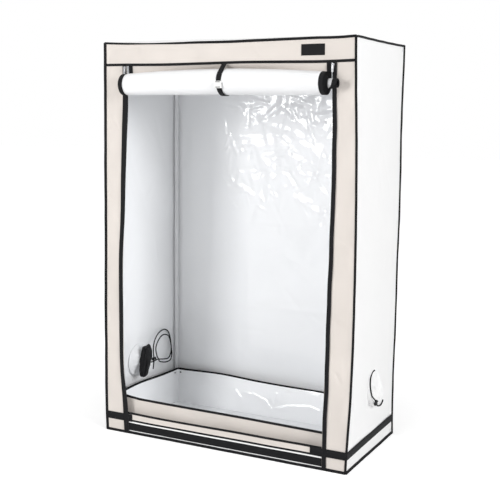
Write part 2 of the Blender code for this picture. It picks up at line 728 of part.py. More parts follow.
def make_tray():
    """An open tray of cloth with a folded hem round its top edge."""
    half_x = POLE_X - CORNER_HALF - SEAM_GAP
    half_y = POLE_Y - CORNER_HALF - SEAM_GAP
    low = CLOTH + SEAM_GAP
    high = low + TRAY_HEIGHT
    tray = box("spill_tray", (-half_x, -half_y, low), (half_x, half_y, high), WHITE_FILM)
    wall = Vector((TRAY_CLOTH, TRAY_CLOTH, TRAY_CLOTH))
    inner_low = Vector((-half_x, -half_y, low)) + wall
    inner_high = Vector((half_x, half_y, high - TRAY_HEM_HEIGHT)) - Vector((TRAY_CLOTH, TRAY_CLOTH, 0))
    boolean(tray, box("tray_inside", inner_low, inner_high))
    hem = Vector((TRAY_HEM_THICKNESS, TRAY_HEM_THICKNESS, TRAY_HEM_HEIGHT + TRAY_CLOTH))
    mouth_low = Vector((-half_x, -half_y, high)) + Vector((hem.x, hem.y, -hem.z))
    mouth_high = Vector((half_x, half_y, high + CUT_OVERRUN)) - Vector((hem.x, hem.y, 0))
    boolean(tray, box("tray_mouth", mouth_low, mouth_high))
    return tray


# Zips


def make_zip(side, coil_x, outward):
    """The fixed tape with its coil, the slider that rides on the coil, and the pull tab."""
    edge = coil_x - outward * COIL_INSET
    far = edge + outward * ZIP_TAPE_WIDTH
    arc = [math.pi * i / COIL_STEPS for i in range(COIL_STEPS + 1)]
    bead = [(coil_x + outward * COIL_RADIUS * -math.cos(a), ZIP_FRONT - COIL_RADIUS * math.sin(a)) for a in arc]
    outline = [(edge, ZIP_BACK), (edge, ZIP_FRONT)] + bead + [(far, ZIP_FRONT), (far, ZIP_BACK)]
    length = ZIP_TOP - ZIP_FOOT
    plate(f"zip_tape_{side}", outline, length, Matrix.Identity(4), (0, 0, ZIP_FOOT + length / 2), BLACK_TAPE)

    nose = SLIDER_NOSE_WIDTH / 2
    broad = SLIDER_WIDTH / 2
    half = SLIDER_LENGTH / 2
    shield = [(-nose, -half), (nose, -half), (broad, half / 3), (broad, half * 0.75), (nose, half),
              (-nose, half), (-broad, half * 0.75), (-broad, half / 3)]
    slider = plate(f"zip_slider_{side}", shield, SLIDER_THICKNESS, FRONT_VIEW,
                   (coil_x, (SLIDER_BACK + SLIDER_FRONT) / 2, SLIDER_CENTRE), ZIP_METAL)
    bevel(slider, SLIDER_BEVEL, segments=1)
    groove = COIL_RADIUS + SEAM_GAP
    channel = rod(f"zip_channel_{side}", (coil_x, ZIP_FRONT, SLIDER_CENTRE - half - CUT_OVERRUN), (0, 0, 1),
                  SLIDER_LENGTH + 2 * CUT_OVERRUN, groove / math.cos(math.pi / PIN_SIDES), PIN_SIDES)
    boolean(slider, channel)
    ear_y = SLIDER_FRONT - EAR_REACH
    inner = TAB_EYE_WIDTH / 2 + SEAM_GAP
    for name, low in (("inner", -inner - EAR_THICKNESS), ("outer", inner)):
        ear = box(f"zip_ear_{side}_{name}", (coil_x + low, ear_y, PIN_Z - EAR_LENGTH / 2),
                  (coil_x + low + EAR_THICKNESS, SLIDER_FRONT + SLIDER_THICKNESS / 4, PIN_Z + EAR_LENGTH / 2))
        boolean(slider, ear, "UNION")
    pin_half = inner + EAR_THICKNESS / 2
    pin = rod(f"zip_pin_{side}", (coil_x - pin_half, PIN_Y, PIN_Z), (1, 0, 0), 2 * pin_half, PIN_RADIUS,
              PIN_SIDES)
    boolean(slider, pin, "UNION")
    place_origin(slider, (coil_x, SLIDER_BACK, SLIDER_CENTRE))

    eye = TAB_EYE_WIDTH / 2
    wide = TAB_WIDTH / 2
    drop = TAB_EYE_RADIUS + TAB_THICKNESS
    leaf = [(-eye, 0), (-eye, -drop), (-wide, -2 * drop), (-wide, -TAB_LENGTH + wide / 2),
            (-wide / 2, -TAB_LENGTH), (wide / 2, -TAB_LENGTH), (wide, -TAB_LENGTH + wide / 2),
            (wide, -2 * drop), (eye, -drop), (eye, 0)]
    tab = plate(f"pull_tab_{side}", leaf, TAB_THICKNESS, FRONT_VIEW, (coil_x, PIN_Y, PIN_Z), ZIP_METAL)
    barrel = rod(f"tab_barrel_{side}", (coil_x - eye, PIN_Y, PIN_Z), (1, 0, 0), TAB_EYE_WIDTH, TAB_EYE_RADIUS,
                 PIN_SIDES)
    boolean(tab, barrel, "UNION")
    hole_radius = (PIN_RADIUS + TAB_EYE_FIT) / math.cos(math.pi / PIN_SIDES)
    hole = rod(f"tab_hole_{side}", (coil_x - eye - CUT_OVERRUN, PIN_Y, PIN_Z), (1, 0, 0),
               TAB_EYE_WIDTH + 2 * CUT_OVERRUN, hole_radius, PIN_SIDES)
    boolean(tab, hole)
    slot_low = PIN_Z - TAB_LENGTH + TAB_RIM
    slot = box(f"tab_slot_{side}", (coil_x - TAB_SLOT_WIDTH / 2, PIN_Y - CUT_OVERRUN, slot_low),
               (coil_x + TAB_SLOT_WIDTH / 2, PIN_Y + CUT_OVERRUN, slot_low + TAB_SLOT_LENGTH))
    boolean(tab, slot)
    place_origin(tab, (coil_x, PIN_Y, PIN_Z))


# Door: one profile carries the sheet, its tapes and the strap behind it


def roll_shape(share):
    """Centre (Y, Z) and outer radius of the roll at a share of its width, 0 at an end and 1 mid-way."""
    stand_off = ROLL_STAND_OFF_ENDS + (ROLL_STAND_OFF_MIDDLE - ROLL_STAND_OFF_ENDS) * share
    radius = ROLL_RADIUS_ENDS + (ROLL_RADIUS_MIDDLE - ROLL_RADIUS_ENDS) * share
    return FRONT - stand_off, ROLL_HEIGHT + ROLL_RISE_MIDDLE * share, radius


def roll_tangent(share):
    """Where the hanging sheet meets the roll's back: angle in (Y, Z), length of the sheet above."""
    centre_y, centre_z, radius = roll_shape(share)
    dy = DOOR_Y - centre_y
    dz = DOOR_TOP - centre_z
    reach = np.hypot(dy, dz)
    straight = np.sqrt(reach ** 2 - radius ** 2)
    return np.arctan2(dz, dy) - np.arccos(radius / reach), straight


def roll_turns():
    """How many turns wind the rest of the door's length between the core and the roll's outside."""
    _, _, radius = roll_shape(1)
    _, straight = roll_tangent(1)
    return (DOOR_LENGTH - straight) / (math.pi * (radius + ROLL_CORE_RADIUS))


def roll_points(share, turns, offset):
    """Points (Y, Z) of the wound sheet after some turns, moved outwards by an offset."""
    centre_y, centre_z, radius = roll_shape(share)
    start, _ = roll_tangent(share)
    angle = start - 2 * np.pi * turns
    wound = radius - (radius - ROLL_CORE_RADIUS) * turns / roll_turns() + offset
    return np.stack([centre_y + wound * np.cos(angle), centre_z + wound * np.sin(angle)], axis=-1)


def slip(turns):
    """How far the wound sheet has slid to the right: nothing outside, all of it at the core."""
    outer = ROLL_RADIUS_ENDS - ROLL_SLIP_RADIUS
    start = roll_turns() * outer / (ROLL_RADIUS_ENDS - ROLL_CORE_RADIUS)
    eased = np.clip(turns - start + 1, 0, 1)
    return ROLL_SLIP * eased ** 2 * (3 - 2 * eased)


def door_column(x):
    """One line of the door's section: down from its seam, then round the roll and inwards."""
    count = int(round(roll_turns() * ROLL_POINTS_PER_TURN))
    turns = np.linspace(0, roll_turns(), count + 1)
    place = x + slip(turns)
    across = 2 * (place - DOOR_LEFT) / (DOOR_RIGHT - DOOR_LEFT) - 1
    wound = np.column_stack([place, roll_points(1 - across ** 2, turns, 0)])
    seam = np.array([x, DOOR_Y, DOOR_TOP])
    return np.vstack([seam, (seam + wound[0]) / 2, wound])


def door_grid(left, right, stations):
    """A part of the door's width as a grid; each row is one place along its length."""
    return np.stack([door_column(x) for x in np.linspace(left, right, stations)], axis=1)


def make_door():
    """The door's white sheet and the zip tape along each of its edges, all wound together."""
    sheet_left = DOOR_LEFT + DOOR_TAPE_WIDTH + DOOR_SEAM_GAP
    sheet_right = DOOR_RIGHT - DOOR_TAPE_WIDTH - DOOR_SEAM_GAP
    grid_sheet("door_panel", door_grid(sheet_left, sheet_right, ROLL_STATIONS), WHITE_FILM, DOOR_SHEET)
    grid_sheet("door_tape_left", door_grid(DOOR_LEFT, DOOR_LEFT + DOOR_TAPE_WIDTH, 2), BLACK_TAPE, DOOR_SHEET)
    grid_sheet("door_tape_right", door_grid(DOOR_RIGHT - DOOR_TAPE_WIDTH, DOOR_RIGHT, 2), BLACK_TAPE, DOOR_SHEET)
    pitch_ends = (ROLL_RADIUS_ENDS - ROLL_CORE_RADIUS) / roll_turns()
    print(f"door roll: {roll_turns():.2f} turns, least gap between turns {pitch_ends - DOOR_SHEET:.4f} m")


# Strap and buckle


def band_outline(points, thickness):
    """The outline of a band of even thickness along points (Y, Z), mitred at each bend."""
    run = np.diff(points, axis=0)
    run /= np.linalg.norm(run, axis=1)[:, None]
    arriving = np.vstack([run[:1], run])
    leaving = np.vstack([run, run[-1:]])
    ahead = arriving + leaving
    ahead /= np.linalg.norm(ahead, axis=1)[:, None]
    mitre = (ahead * leaving).sum(axis=1)[:, None]
    side = np.stack([-ahead[:, 1], ahead[:, 0]], axis=1) * (thickness / 2) / mitre
    return np.vstack([points + side, (points - side)[::-1]]).tolist()


def turns_at_height(z, first, last):
    """How far round the roll the strap's line passes a height, between two shares of a turn."""
    turns = np.linspace(first, last, 400)
    heights = roll_points(1, turns, strap_offset())[:, 1]
    return turns[np.argmin(np.abs(heights - z))]


def strap_offset():
    """From the middle of the door's sheet to the middle of the strap."""
    return DOOR_SHEET / 2 + STRAP_SEAT + STRAP_THICKNESS / 2


def turns_towards(target, first, last):
    """How far round the roll a straight run of strap meets it on its way to or from a point."""
    turns = np.linspace(first, last, 400)
    path = roll_points(1, turns, strap_offset())
    outward = path - np.array(roll_shape(1)[:2])
    return turns[np.argmin(np.abs(((np.array(target) - path) * outward).sum(axis=1)))]


def buckle_line():
    """Where the upper strap ends, as a share of a turn, and the Y of its middle there."""
    end = turns_at_height(BUCKLE_TOP + SEAM_GAP, 0.45, 0.80)
    return end, roll_points(1, end, strap_offset())[0]


def make_strap():
    """The strap from the header over the roll's front, and the one from the buckle round its back."""
    end, line_y = buckle_line()
    above = (BINDING_FRONT - SEAM_GAP - STRAP_THICKNESS / 2, HEADER_TAPE_LOW - SEAM_GAP)
    wound = roll_points(1, np.linspace(turns_towards(above, end, STRAP_MEETS_BEFORE), end, 10), strap_offset())
    points = np.vstack([above, wound])
    plate("strap_upper", band_outline(points, STRAP_THICKNESS), STRAP_WIDTH, SIDE_VIEW, (STRAP_X, 0, 0), BLACK_TAPE)

    start, _ = roll_tangent(1)
    below = (line_y, BUCKLE_FOOT - SEAM_GAP)
    lowest = turns_at_height(BUCKLE_FOOT, 0.25, end)
    wound = roll_points(1, np.linspace(0, turns_towards(below, 0.25, lowest), 14), strap_offset())
    lap_y = FRONT + CLOTH + SEAM_GAP + STRAP_THICKNESS / 2
    seam = np.array([DOOR_Y, DOOR_TOP]) + strap_offset() * np.array([math.cos(start), math.sin(start)])
    knee_share = (lap_y + STRAP_SEAT - seam[0]) / (wound[0][0] - seam[0])
    knee = seam + (wound[0] - seam) * knee_share
    points = np.vstack([[lap_y, HEADER_HEIGHT + STRAP_LAP], knee, wound, below])
    plate("strap_lower", band_outline(points, STRAP_THICKNESS), STRAP_WIDTH, SIDE_VIEW, (STRAP_X, 0, 0), BLACK_TAPE)


def make_buckle():
    """A side-release buckle: a socket open below and at its sides, and a plug with two prongs."""
    half = BUCKLE_WIDTH / 2
    left = STRAP_X - half
    right = STRAP_X + half
    top = BUCKLE_TOP
    seam = top - SOCKET_LENGTH
    foot = BUCKLE_FOOT
    _, line_y = buckle_line()
    back = line_y + STRAP_THICKNESS / 2
    front = back - BUCKLE_THICKNESS
    middle = (front + back) / 2

    socket = box("buckle_socket", (left, front, seam), (right, back, top), WHITE_NYLON)
    bevel(socket, BUCKLE_EDGE)
    roof = top - BAR_SLOT_RIM * 2 - BAR_SLOT_LENGTH
    inside = box("socket_inside", (left + BUCKLE_WALL, front + BUCKLE_WALL, seam - CUT_OVERRUN),
                 (right - BUCKLE_WALL, back - BUCKLE_WALL, roof))
    boolean(socket, inside)
    window = box("socket_window", (left - CUT_OVERRUN, front + BUCKLE_WALL, roof - RELEASE_WINDOW),
                 (right + CUT_OVERRUN, back - BUCKLE_WALL, roof))
    boolean(socket, window)
    slot_half = STRAP_WIDTH / 2 + PRONG_FIT
    slot_high = top - BAR_SLOT_RIM
    slot = box("socket_slot", (STRAP_X - slot_half, front - CUT_OVERRUN, slot_high - BAR_SLOT_LENGTH),
               (STRAP_X + slot_half, back + CUT_OVERRUN, slot_high))
    boolean(socket, slot)

    base_top = seam - SEAM_GAP
    plug = box("buckle_plug", (left, front, foot), (right, back, base_top), WHITE_NYLON)
    bevel(plug, BUCKLE_EDGE)
    prong_front = front + BUCKLE_WALL + PRONG_FIT
    prong_back = back - BUCKLE_WALL - PRONG_FIT
    outer = half - BUCKLE_WALL - PRONG_FIT
    head = [(outer - PRONG_WIDTH - PRONG_FIT, 0), (outer - PRONG_FIT, 0), (outer - PRONG_FIT, PRONG_LENGTH * 0.35),
            (outer, PRONG_LENGTH - PRONG_HEAD), (outer, PRONG_LENGTH - PRONG_HEAD / 2),
            (outer - PRONG_WIDTH, PRONG_LENGTH), (outer - PRONG_WIDTH * 1.4, PRONG_LENGTH - PRONG_HEAD)]
    length = min(PRONG_LENGTH, roof - seam - PRONG_FIT)
    scale = length / PRONG_LENGTH
    sink = PLUG_BASE_LENGTH / 2
    for name, sign in (("left", -1), ("right", 1)):
        outline = [(sign * u, base_top + v * scale - (sink if v == 0 else 0)) for u, v in head]
        prong = plate(f"plug_prong_{name}", outline[::sign], prong_back - prong_front, FRONT_VIEW,
                      (STRAP_X, middle, 0))
        boolean(plug, prong, "UNION")
    guide_half = half / 5
    guide = box("plug_guide", (STRAP_X - guide_half, prong_front, base_top - sink),
                (STRAP_X + guide_half, prong_back, base_top + length * 0.6))
    boolean(plug, guide, "UNION")
    slot = box("plug_slot", (STRAP_X - slot_half, front - CUT_OVERRUN, foot + BAR_SLOT_RIM),
               (STRAP_X + slot_half, back + CUT_OVERRUN, foot + BAR_SLOT_RIM + BAR_SLOT_LENGTH))
    boolean(plug, slot)
    place_origin(plug, (STRAP_X, middle, seam))


# Ports, their sleeves, and the drawcords


def make_left_sleeve():
    """A gathered cone inside the left port and the folded bag of cloth that hangs from it."""
    flange = CLOTH
    profile = [(0, SLEEVE_REACH), (SLEEVE_NECK_RADIUS, SLEEVE_REACH), (SLEEVE_NECK_RADIUS, SLEEVE_REACH * 0.7),
               (SLEEVE_NECK_RADIUS * 1.7, SLEEVE_REACH * 0.35), (PORT_HOLE_RADIUS, flange * 3),
               (PORT_COLLAR_RADIUS, flange), (PORT_COLLAR_RADIUS, 0), (0, 0)]
    wall = -HALF_WIDTH + CLOTH + SEAM_GAP
    sleeve = turned("port_sleeve_left", profile, BLACK_CLOTH, (wall, LEFT_PORT_Y, LEFT_PORT_Z), (1, 0, 0),
                    PORT_SIDES, closed=False)
    settled(sleeve)
    smooth(sleeve)
    height_shares = np.array([0.0, 0.05, 0.17, 0.35, 0.53, 0.71, 0.87, 0.96, 1.0])
    width_shares = np.array([0.16, 0.55, 0.86, 1.0, 0.92, 0.80, 0.70, 0.52, 0.18])
    lean_shares = np.array([0.0, 0.06, 0.22, 0.36, 0.54, 0.72, 0.88, 0.97, 1.0])
    angle = np.linspace(0, 2 * np.pi, BAG_SIDES, endpoint=False)
    rings = []
    for height, width, lean in zip(height_shares, width_shares, lean_shares):
        fold = 1 + BAG_FOLD_SHARE * np.cos(BAG_FOLDS * angle + 2 * height) * min(1, 3 * width - 0.4)
        x = wall + BAG_STAND_OFF + BAG_DEPTH / 2 * width * fold * np.cos(angle)
        y = LEFT_PORT_Y + BAG_TOP_Y - BAG_LEAN * lean + BAG_WIDTH / 2 * width * fold * np.sin(angle)
        z = np.full_like(angle, BAG_TOP - BAG_LENGTH * height)
        rings.append(np.stack([x, y, z], axis=1))
    bag = lofted("sleeve_bag", np.array(rings))
    boolean(sleeve, bag, "UNION")
    return sleeve


CUFF_RADIUS_SHARES = (0.0, 0.30, 0.55, 0.78, 0.86, 0.94, 1.0, 1.0, 0.965, 0.985)
CUFF_HEIGHT_SHARES = (0.36, 0.34, 0.32, 0.42, 0.90, 1.0, 0.82, 0.50, 0.22, 0.08)


def cuff_height(angle, top, bottom):
    """How far the hem stands off the cloth; it droops, so it is most at the bottom."""
    return top + (bottom - top) * (1 - np.sin(angle)) / 2


def make_cuff(name, centre, out, right, up, top, bottom, finish):
    """A short sleeve gathered shut on the outside: collar, hem and a pleated dish."""
    angle = np.linspace(0, 2 * np.pi, 2 * PORT_SIDES, endpoint=False)
    centre = np.array(centre)
    out = np.array(out)
    right = np.array(right)
    up = np.array(up)

    def ring(radius, height):
        """One ring of points at a radius and a height over the cloth."""
        flat = np.outer(radius * np.cos(angle), right) + np.outer(radius * np.sin(angle), up)
        return centre + flat + np.outer(height * np.ones_like(angle), out)

    stand = cuff_height(angle, top, bottom)
    rings = [ring(PORT_COLLAR_RADIUS * np.ones_like(angle), np.full_like(angle, SEAM_GAP)),
             ring(PORT_COLLAR_RADIUS * np.ones_like(angle), np.full_like(angle, SEAM_GAP + CLOTH))]
    pairs = list(zip(CUFF_RADIUS_SHARES, CUFF_HEIGHT_SHARES))[::-1]
    for radius_share, height_share in pairs:
        share = max(radius_share, 0.06)
        pleat = 1 + CUFF_GATHER_SHARE * np.cos(CUFF_GATHERS * angle) * (1 - share) * (share < 0.9)
        height = SEAM_GAP + CLOTH + (stand - CLOTH) * height_share * pleat
        rings.append(ring(CUFF_HEM_RADIUS * share * np.ones_like(angle), height))
    return smooth(lofted(name, np.array(rings), finish))


def make_cuffs():
    """The right port's cuff, which droops, and the flat one on the roof."""
    make_cuff("port_cuff_right", (HALF_WIDTH, RIGHT_PORT_Y, RIGHT_PORT_Z), (1, 0, 0), (0, 1, 0), (0, 0, 1),
              CUFF_HEIGHT_TOP, CUFF_HEIGHT_BOTTOM, WHITE_CLOTH)
    make_cuff("port_cuff_roof", (ROOF_PORT_X, ROOF_PORT_Y, HEIGHT), (0, 0, 1), (1, 0, 0), (0, 1, 0),
              ROOF_CUFF_HEIGHT, ROOF_CUFF_HEIGHT, WHITE_CLOTH)


def cuff_cord_path(degrees):
    """Points on the crest of the right cuff's hem, where its drawcord lies and lifts for its lock."""
    angle = np.radians(degrees)
    radius = CUFF_HEM_RADIUS * CUFF_RADIUS_SHARES[5]
    lift = CUFF_LOCK_LIFT * np.exp(-((degrees - CUFF_LOCK_DEG) / CUFF_LOCK_SPREAD_DEG) ** 4)
    height = cuff_height(angle, CUFF_HEIGHT_TOP, CUFF_HEIGHT_BOTTOM) + SEAM_GAP + CORD_SEAT + CORD_RADIUS
    height = height + lift
    return np.stack([HALF_WIDTH + height, RIGHT_PORT_Y + radius * np.cos(angle),
                     RIGHT_PORT_Z + radius * np.sin(angle)], axis=1)


def make_lock(side, place, press, cord_axis):
    """A barrel lock on the cord and the sprung button in its end."""
    press = Vector(press).normalized()
    half = LOCK_LENGTH / 2
    foot = Vector(place) - press * half
    profile = [(0, LOCK_LENGTH), (LOCK_RADIUS - LOCK_ROUND, LOCK_LENGTH), (LOCK_RADIUS, LOCK_LENGTH - LOCK_ROUND),
               (LOCK_WAIST_RADIUS, half), (LOCK_RADIUS, LOCK_ROUND), (LOCK_RADIUS - LOCK_ROUND, 0), (0, 0)]
    barrel = turned(f"cord_lock_{side}", profile, BLACK_NYLON, foot, press, LOCK_SIDES, closed=False)
    settled(barrel)
    smooth(barrel)
    well_depth = BUTTON_STEM + BUTTON_TRAVEL + BUTTON_FIT
    well_start = foot + press * (LOCK_LENGTH - well_depth)
    well = rod(f"lock_well_{side}", well_start, press, well_depth + CUT_OVERRUN,
               (BUTTON_RADIUS + BUTTON_FIT) / math.cos(math.pi / LOCK_SIDES), LOCK_SIDES)
    boolean(barrel, well)
    cord_axis = Vector(cord_axis).normalized()
    hole_place = Vector(place) - press * (half / 4)
    hole = rod(f"lock_hole_{side}", hole_place - cord_axis * (LOCK_RADIUS + CUT_OVERRUN), cord_axis,
               2 * (LOCK_RADIUS + CUT_OVERRUN), (CORD_RADIUS + CORD_HOLE_FIT) / math.cos(math.pi / LOCK_SIDES),
               LOCK_SIDES)
    boolean(barrel, hole)
    button_length = BUTTON_STEM + BUTTON_CAP
    button_profile = [(0, button_length), (BUTTON_RADIUS - BUTTON_ROUND, button_length),
                      (BUTTON_RADIUS, button_length - BUTTON_ROUND), (BUTTON_RADIUS, 0), (0, 0)]
    turned(f"lock_button_{side}", button_profile, BLACK_NYLON, foot + press * (LOCK_LENGTH - BUTTON_STEM),
           press, LOCK_SIDES, closed=False)


def make_drawcords():
    """Both drawcords and their locks."""
    port = np.array([-HALF_WIDTH, LEFT_PORT_Y, LEFT_PORT_Z])
    left, length = smooth_route(port + np.array(LEFT_CORD_ROUTE), CORD_POINTS_LEFT)
    cord("drawcord_left", left, BLACK_TAPE)
    print(f"left drawcord: {length:.3f} m, least gap to itself {least_gap(left, CORD_RADIUS, 4):.4f} m")
    lift = LOCK_LENGTH / 8
    lock_place = Vector(port) + Vector(LEFT_LOCK_PLACE) + Vector((0, lift, 0))
    make_lock("left", lock_place, (0, 1, 0), (0, 0, 1))
    right = cuff_cord_path(np.linspace(CUFF_CORD_START_DEG, CUFF_CORD_END_DEG, CORD_POINTS_RIGHT))
    cord("drawcord_right", right, BLACK_TAPE)
    near = cuff_cord_path(np.array([CUFF_LOCK_DEG - 1, CUFF_LOCK_DEG, CUFF_LOCK_DEG + 1]))
    tangent = near[2] - near[0]
    press = np.cross(tangent, (1, 0, 0))
    press = press / np.linalg.norm(press)
    make_lock("right", near[1] + press * lift, press, tangent)


def main():
    """Make every piece of the tent."""
    make_frame()
    hanging_bar("hanging_bar_left", -BAR_REST_X)
    hanging_bar("hanging_bar_right", BAR_REST_X)
    make_panels()
    make_sill()
    make_edge_binding()
    make_base_webbing()
    make_tray()
    make_zip("left", ZIP_LEFT_X, -1)
    make_zip("right", ZIP_RIGHT_X, 1)
    make_door()
    make_strap()
    make_buckle()
    make_left_sleeve()
    make_cuffs()
    make_drawcords()
    print(f"{len(PARTS.objects)} pieces")


main()
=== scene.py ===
# %% [markdown]
# # An indoor grow tent
#
# A grow tent is a cloth box on a frame of steel poles. Its front opens with two long zips, and here the
# door is rolled up and held by a strap. The CAD model gives every piece its place, and this script dresses
# it: cloth that bows between the poles, creased white film, black tapes and their shading.

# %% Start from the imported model
import math

import bpy
import numpy as np
from mathutils import Matrix, Vector


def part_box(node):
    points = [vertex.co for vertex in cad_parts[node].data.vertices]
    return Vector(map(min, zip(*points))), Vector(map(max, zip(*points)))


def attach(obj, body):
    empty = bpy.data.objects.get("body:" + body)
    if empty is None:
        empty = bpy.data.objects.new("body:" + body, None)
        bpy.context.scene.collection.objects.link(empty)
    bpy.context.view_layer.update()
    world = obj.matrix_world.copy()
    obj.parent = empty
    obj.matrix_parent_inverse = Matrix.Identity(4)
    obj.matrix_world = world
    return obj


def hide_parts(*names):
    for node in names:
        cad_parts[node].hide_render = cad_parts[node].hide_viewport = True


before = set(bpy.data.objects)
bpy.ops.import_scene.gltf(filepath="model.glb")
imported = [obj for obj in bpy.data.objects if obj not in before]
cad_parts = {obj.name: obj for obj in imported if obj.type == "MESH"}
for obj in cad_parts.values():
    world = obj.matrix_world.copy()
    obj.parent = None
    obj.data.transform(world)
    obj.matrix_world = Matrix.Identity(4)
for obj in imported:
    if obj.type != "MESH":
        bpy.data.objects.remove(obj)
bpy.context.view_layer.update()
ROOT = "tent"

# %% [markdown]
# ## Camera
#
# The camera was fitted to the eight outer corners of the tent, so that they land on the same pixels as in
# the photograph. It looks down a little and turns to the left, because it stands in front of the right side.

# %% Camera
YAW, PITCH, ROLL = (math.radians(angle) for angle in (27.113, -8.009, 0.635))
CAMERA_PLACE = (1.977, -3.8854, 1.4813)
LENS, SENSOR = 68.6, 36
forward = Vector((-math.sin(YAW) * math.cos(PITCH), math.cos(YAW) * math.cos(PITCH), math.sin(PITCH)))
level = Vector((math.cos(YAW), math.sin(YAW), 0))
upright = level.cross(forward)
right = level * math.cos(ROLL) + upright * math.sin(ROLL)
up = upright * math.cos(ROLL) - level * math.sin(ROLL)
camera = bpy.data.objects.new("camera", bpy.data.cameras.new("camera"))
camera.data.lens = LENS
camera.data.sensor_width = SENSOR
turn = Matrix((right, up, -forward)).transposed().to_4x4()
camera.matrix_world = Matrix.Translation(CAMERA_PLACE) @ turn
bpy.context.scene.collection.objects.link(camera)
bpy.context.scene.camera = camera
print("camera at", tuple(round(value, 3) for value in camera.location))

# %% [markdown]
# ## Measures
#
# The cloth box is 1.20 m wide, 0.60 m deep and 1.80 m high, and everything is in metres. The CAD panels are
# flat. On the real tent the cloth bows between the poles. Each bow table gives how far an upright edge has
# moved in X at some heights, and the sag table how far the roof's front edge hangs at some places across it.
# A smooth curve passes through each table. It could be drawn by hand in Edit Mode, but a table can be read
# and changed.

# %% Measures and the bow of the shell
HALF_X, HALF_Y, TOP = 0.600, 0.300, 1.800
FRONT = -HALF_Y
CLOTH = 0.0015
HEADER, SILL = 1.700, 0.100
LEFT_ZIP, RIGHT_ZIP = -0.497, 0.513

BOW_HEIGHTS = (0.00, 0.15, 0.30, 0.45, 0.60, 0.80, 1.00, 1.20, 1.40, 1.60, 1.70, 1.80)
BOW_LEFT_CORNER = (-0.0070, -0.0110, -0.0110, -0.0105, -0.0095, -0.0075, -0.0055, -0.0045, -0.0030,
                   -0.0010, 0, 0)
BOW_LEFT_ZIP = (-0.0040, -0.0120, -0.0255, -0.0275, -0.0285, -0.0280, -0.0190, -0.0125, -0.0050,
                0.0025, 0.0020, 0)
BOW_RIGHT_ZIP = (-0.0095, -0.0110, -0.0070, -0.0040, -0.0035, 0.0005, 0.0034, 0.0065, 0.0050, 0.0010, 0, 0)
BOW_RIGHT_CORNER = (0.001, 0.0073, 0.0155, 0.0190, 0.0214, 0.0218, 0.0206, 0.0175, 0.0126, 0.0052, 0.0020, 0)
BOW_BACK_CORNER = (-0.0012, -0.0045, -0.0053, -0.0035, -0.0025, -0.0035, -0.0009, -0.0015, -0.0045,
                   -0.0040, -0.0025, -0.0020)
SAG_DEPTH = 2 * HALF_Y / 45  # 13 mm
SAG_PLACES = (-0.60, -0.54, -0.34, -0.15, 0.04, 0.235, 0.43, 0.55, 0.60)
SAG_TOP = (0.0025, 0.0056, 0.0109, 0.0107, 0.0105, 0.0077, 0.0054, 0.0052, 0.0025)


def smooth_table(at, places, values):
    """A smooth curve through a table: cubic pieces whose slopes are the mean of their neighbours' slopes."""
    places, values = np.asarray(places, float), np.asarray(values, float)
    slopes = np.gradient(values, places)
    at = np.clip(at, places[0], places[-1])
    k = np.clip(np.searchsorted(places, at, side="right") - 1, 0, len(places) - 2)
    width = places[k + 1] - places[k]
    s = (at - places[k]) / width
    return ((1 + 2 * s) * (1 - s) ** 2 * values[k] + s * (1 - s) ** 2 * width * slopes[k]
            + s ** 2 * (3 - 2 * s) * values[k + 1] - s ** 2 * (1 - s) * width * slopes[k + 1])


def bow(points):
    """Moves points of the flat shell to where the bowed cloth lies.

    Across the front, the shift in X is read at four lines (corner, zip, zip, corner) and runs straight
    between them; across the doorway it stays at the zips' mean, apart from 15 % beside each zip. Deeper in
    it is front shift · (1 − depth) + back shift · depth, and |x / half width|⁶ keeps it to the side walls.
    The header and the roof's front edge sag, which fades out within SAG_DEPTH.
    """
    points = np.array(points, float)
    x, y, z = points[..., 0], points[..., 1], points[..., 2]
    columns = [smooth_table(z, BOW_HEIGHTS, table)
               for table in (BOW_LEFT_CORNER, BOW_LEFT_ZIP, BOW_RIGHT_ZIP, BOW_RIGHT_CORNER)]
    lines = (-HALF_X, LEFT_ZIP, RIGHT_ZIP, HALF_X)
    shift = np.where(x < lines[0], columns[0], np.where(x > lines[3], columns[3], 0))
    for low, high, first, second in zip(lines, lines[1:], columns, columns[1:]):
        part = (x - low) / (high - low)
        inside = (part >= 0) & (part <= 1)
        if low == LEFT_ZIP:
            part = np.where(part < 0.15, part / 0.3, np.where(part > 0.85, 1 - (1 - part) / 0.3, 0.5))
        shift = np.where(inside, first * (1 - part) + second * part, shift)
    back = np.where(x > 0, smooth_table(z, BOW_HEIGHTS, BOW_BACK_CORNER), 0)
    deep = np.clip((y + HALF_Y) / (2 * HALF_Y), 0, 1)
    across = np.clip(np.abs(x) / HALF_X, 0, 1) ** 6
    points[..., 0] = x + np.where(deep < 0.02, shift, (shift * (1 - deep) + back * deep) * across)
    near_top = np.clip((z - HEADER) / (TOP - HEADER), 0, 1.05)
    near_front = np.clip(1 - (2 * HALF_Y / SAG_DEPTH) * deep, 0, 1)
    points[..., 2] = z - smooth_table(x, SAG_PLACES, SAG_TOP) * near_top * near_front
    return points


print("widest bow of the right corner:", max(BOW_RIGHT_CORNER), "m")

# %% [markdown]
# ## Building surfaces
#
# Cloth is a grid of points: one function gives the points, and another one turns them into a mesh with two
# skins and a rim, so that the outer and the inner face can have their own finish. Tapes and straps are
# outlines swept along a path. A plane with Solidify would do for flat cloth, but here the two skins come from
# the same arrays as the wrinkles. Each mesh stores UVs in metres, so a weave has the same size everywhere.

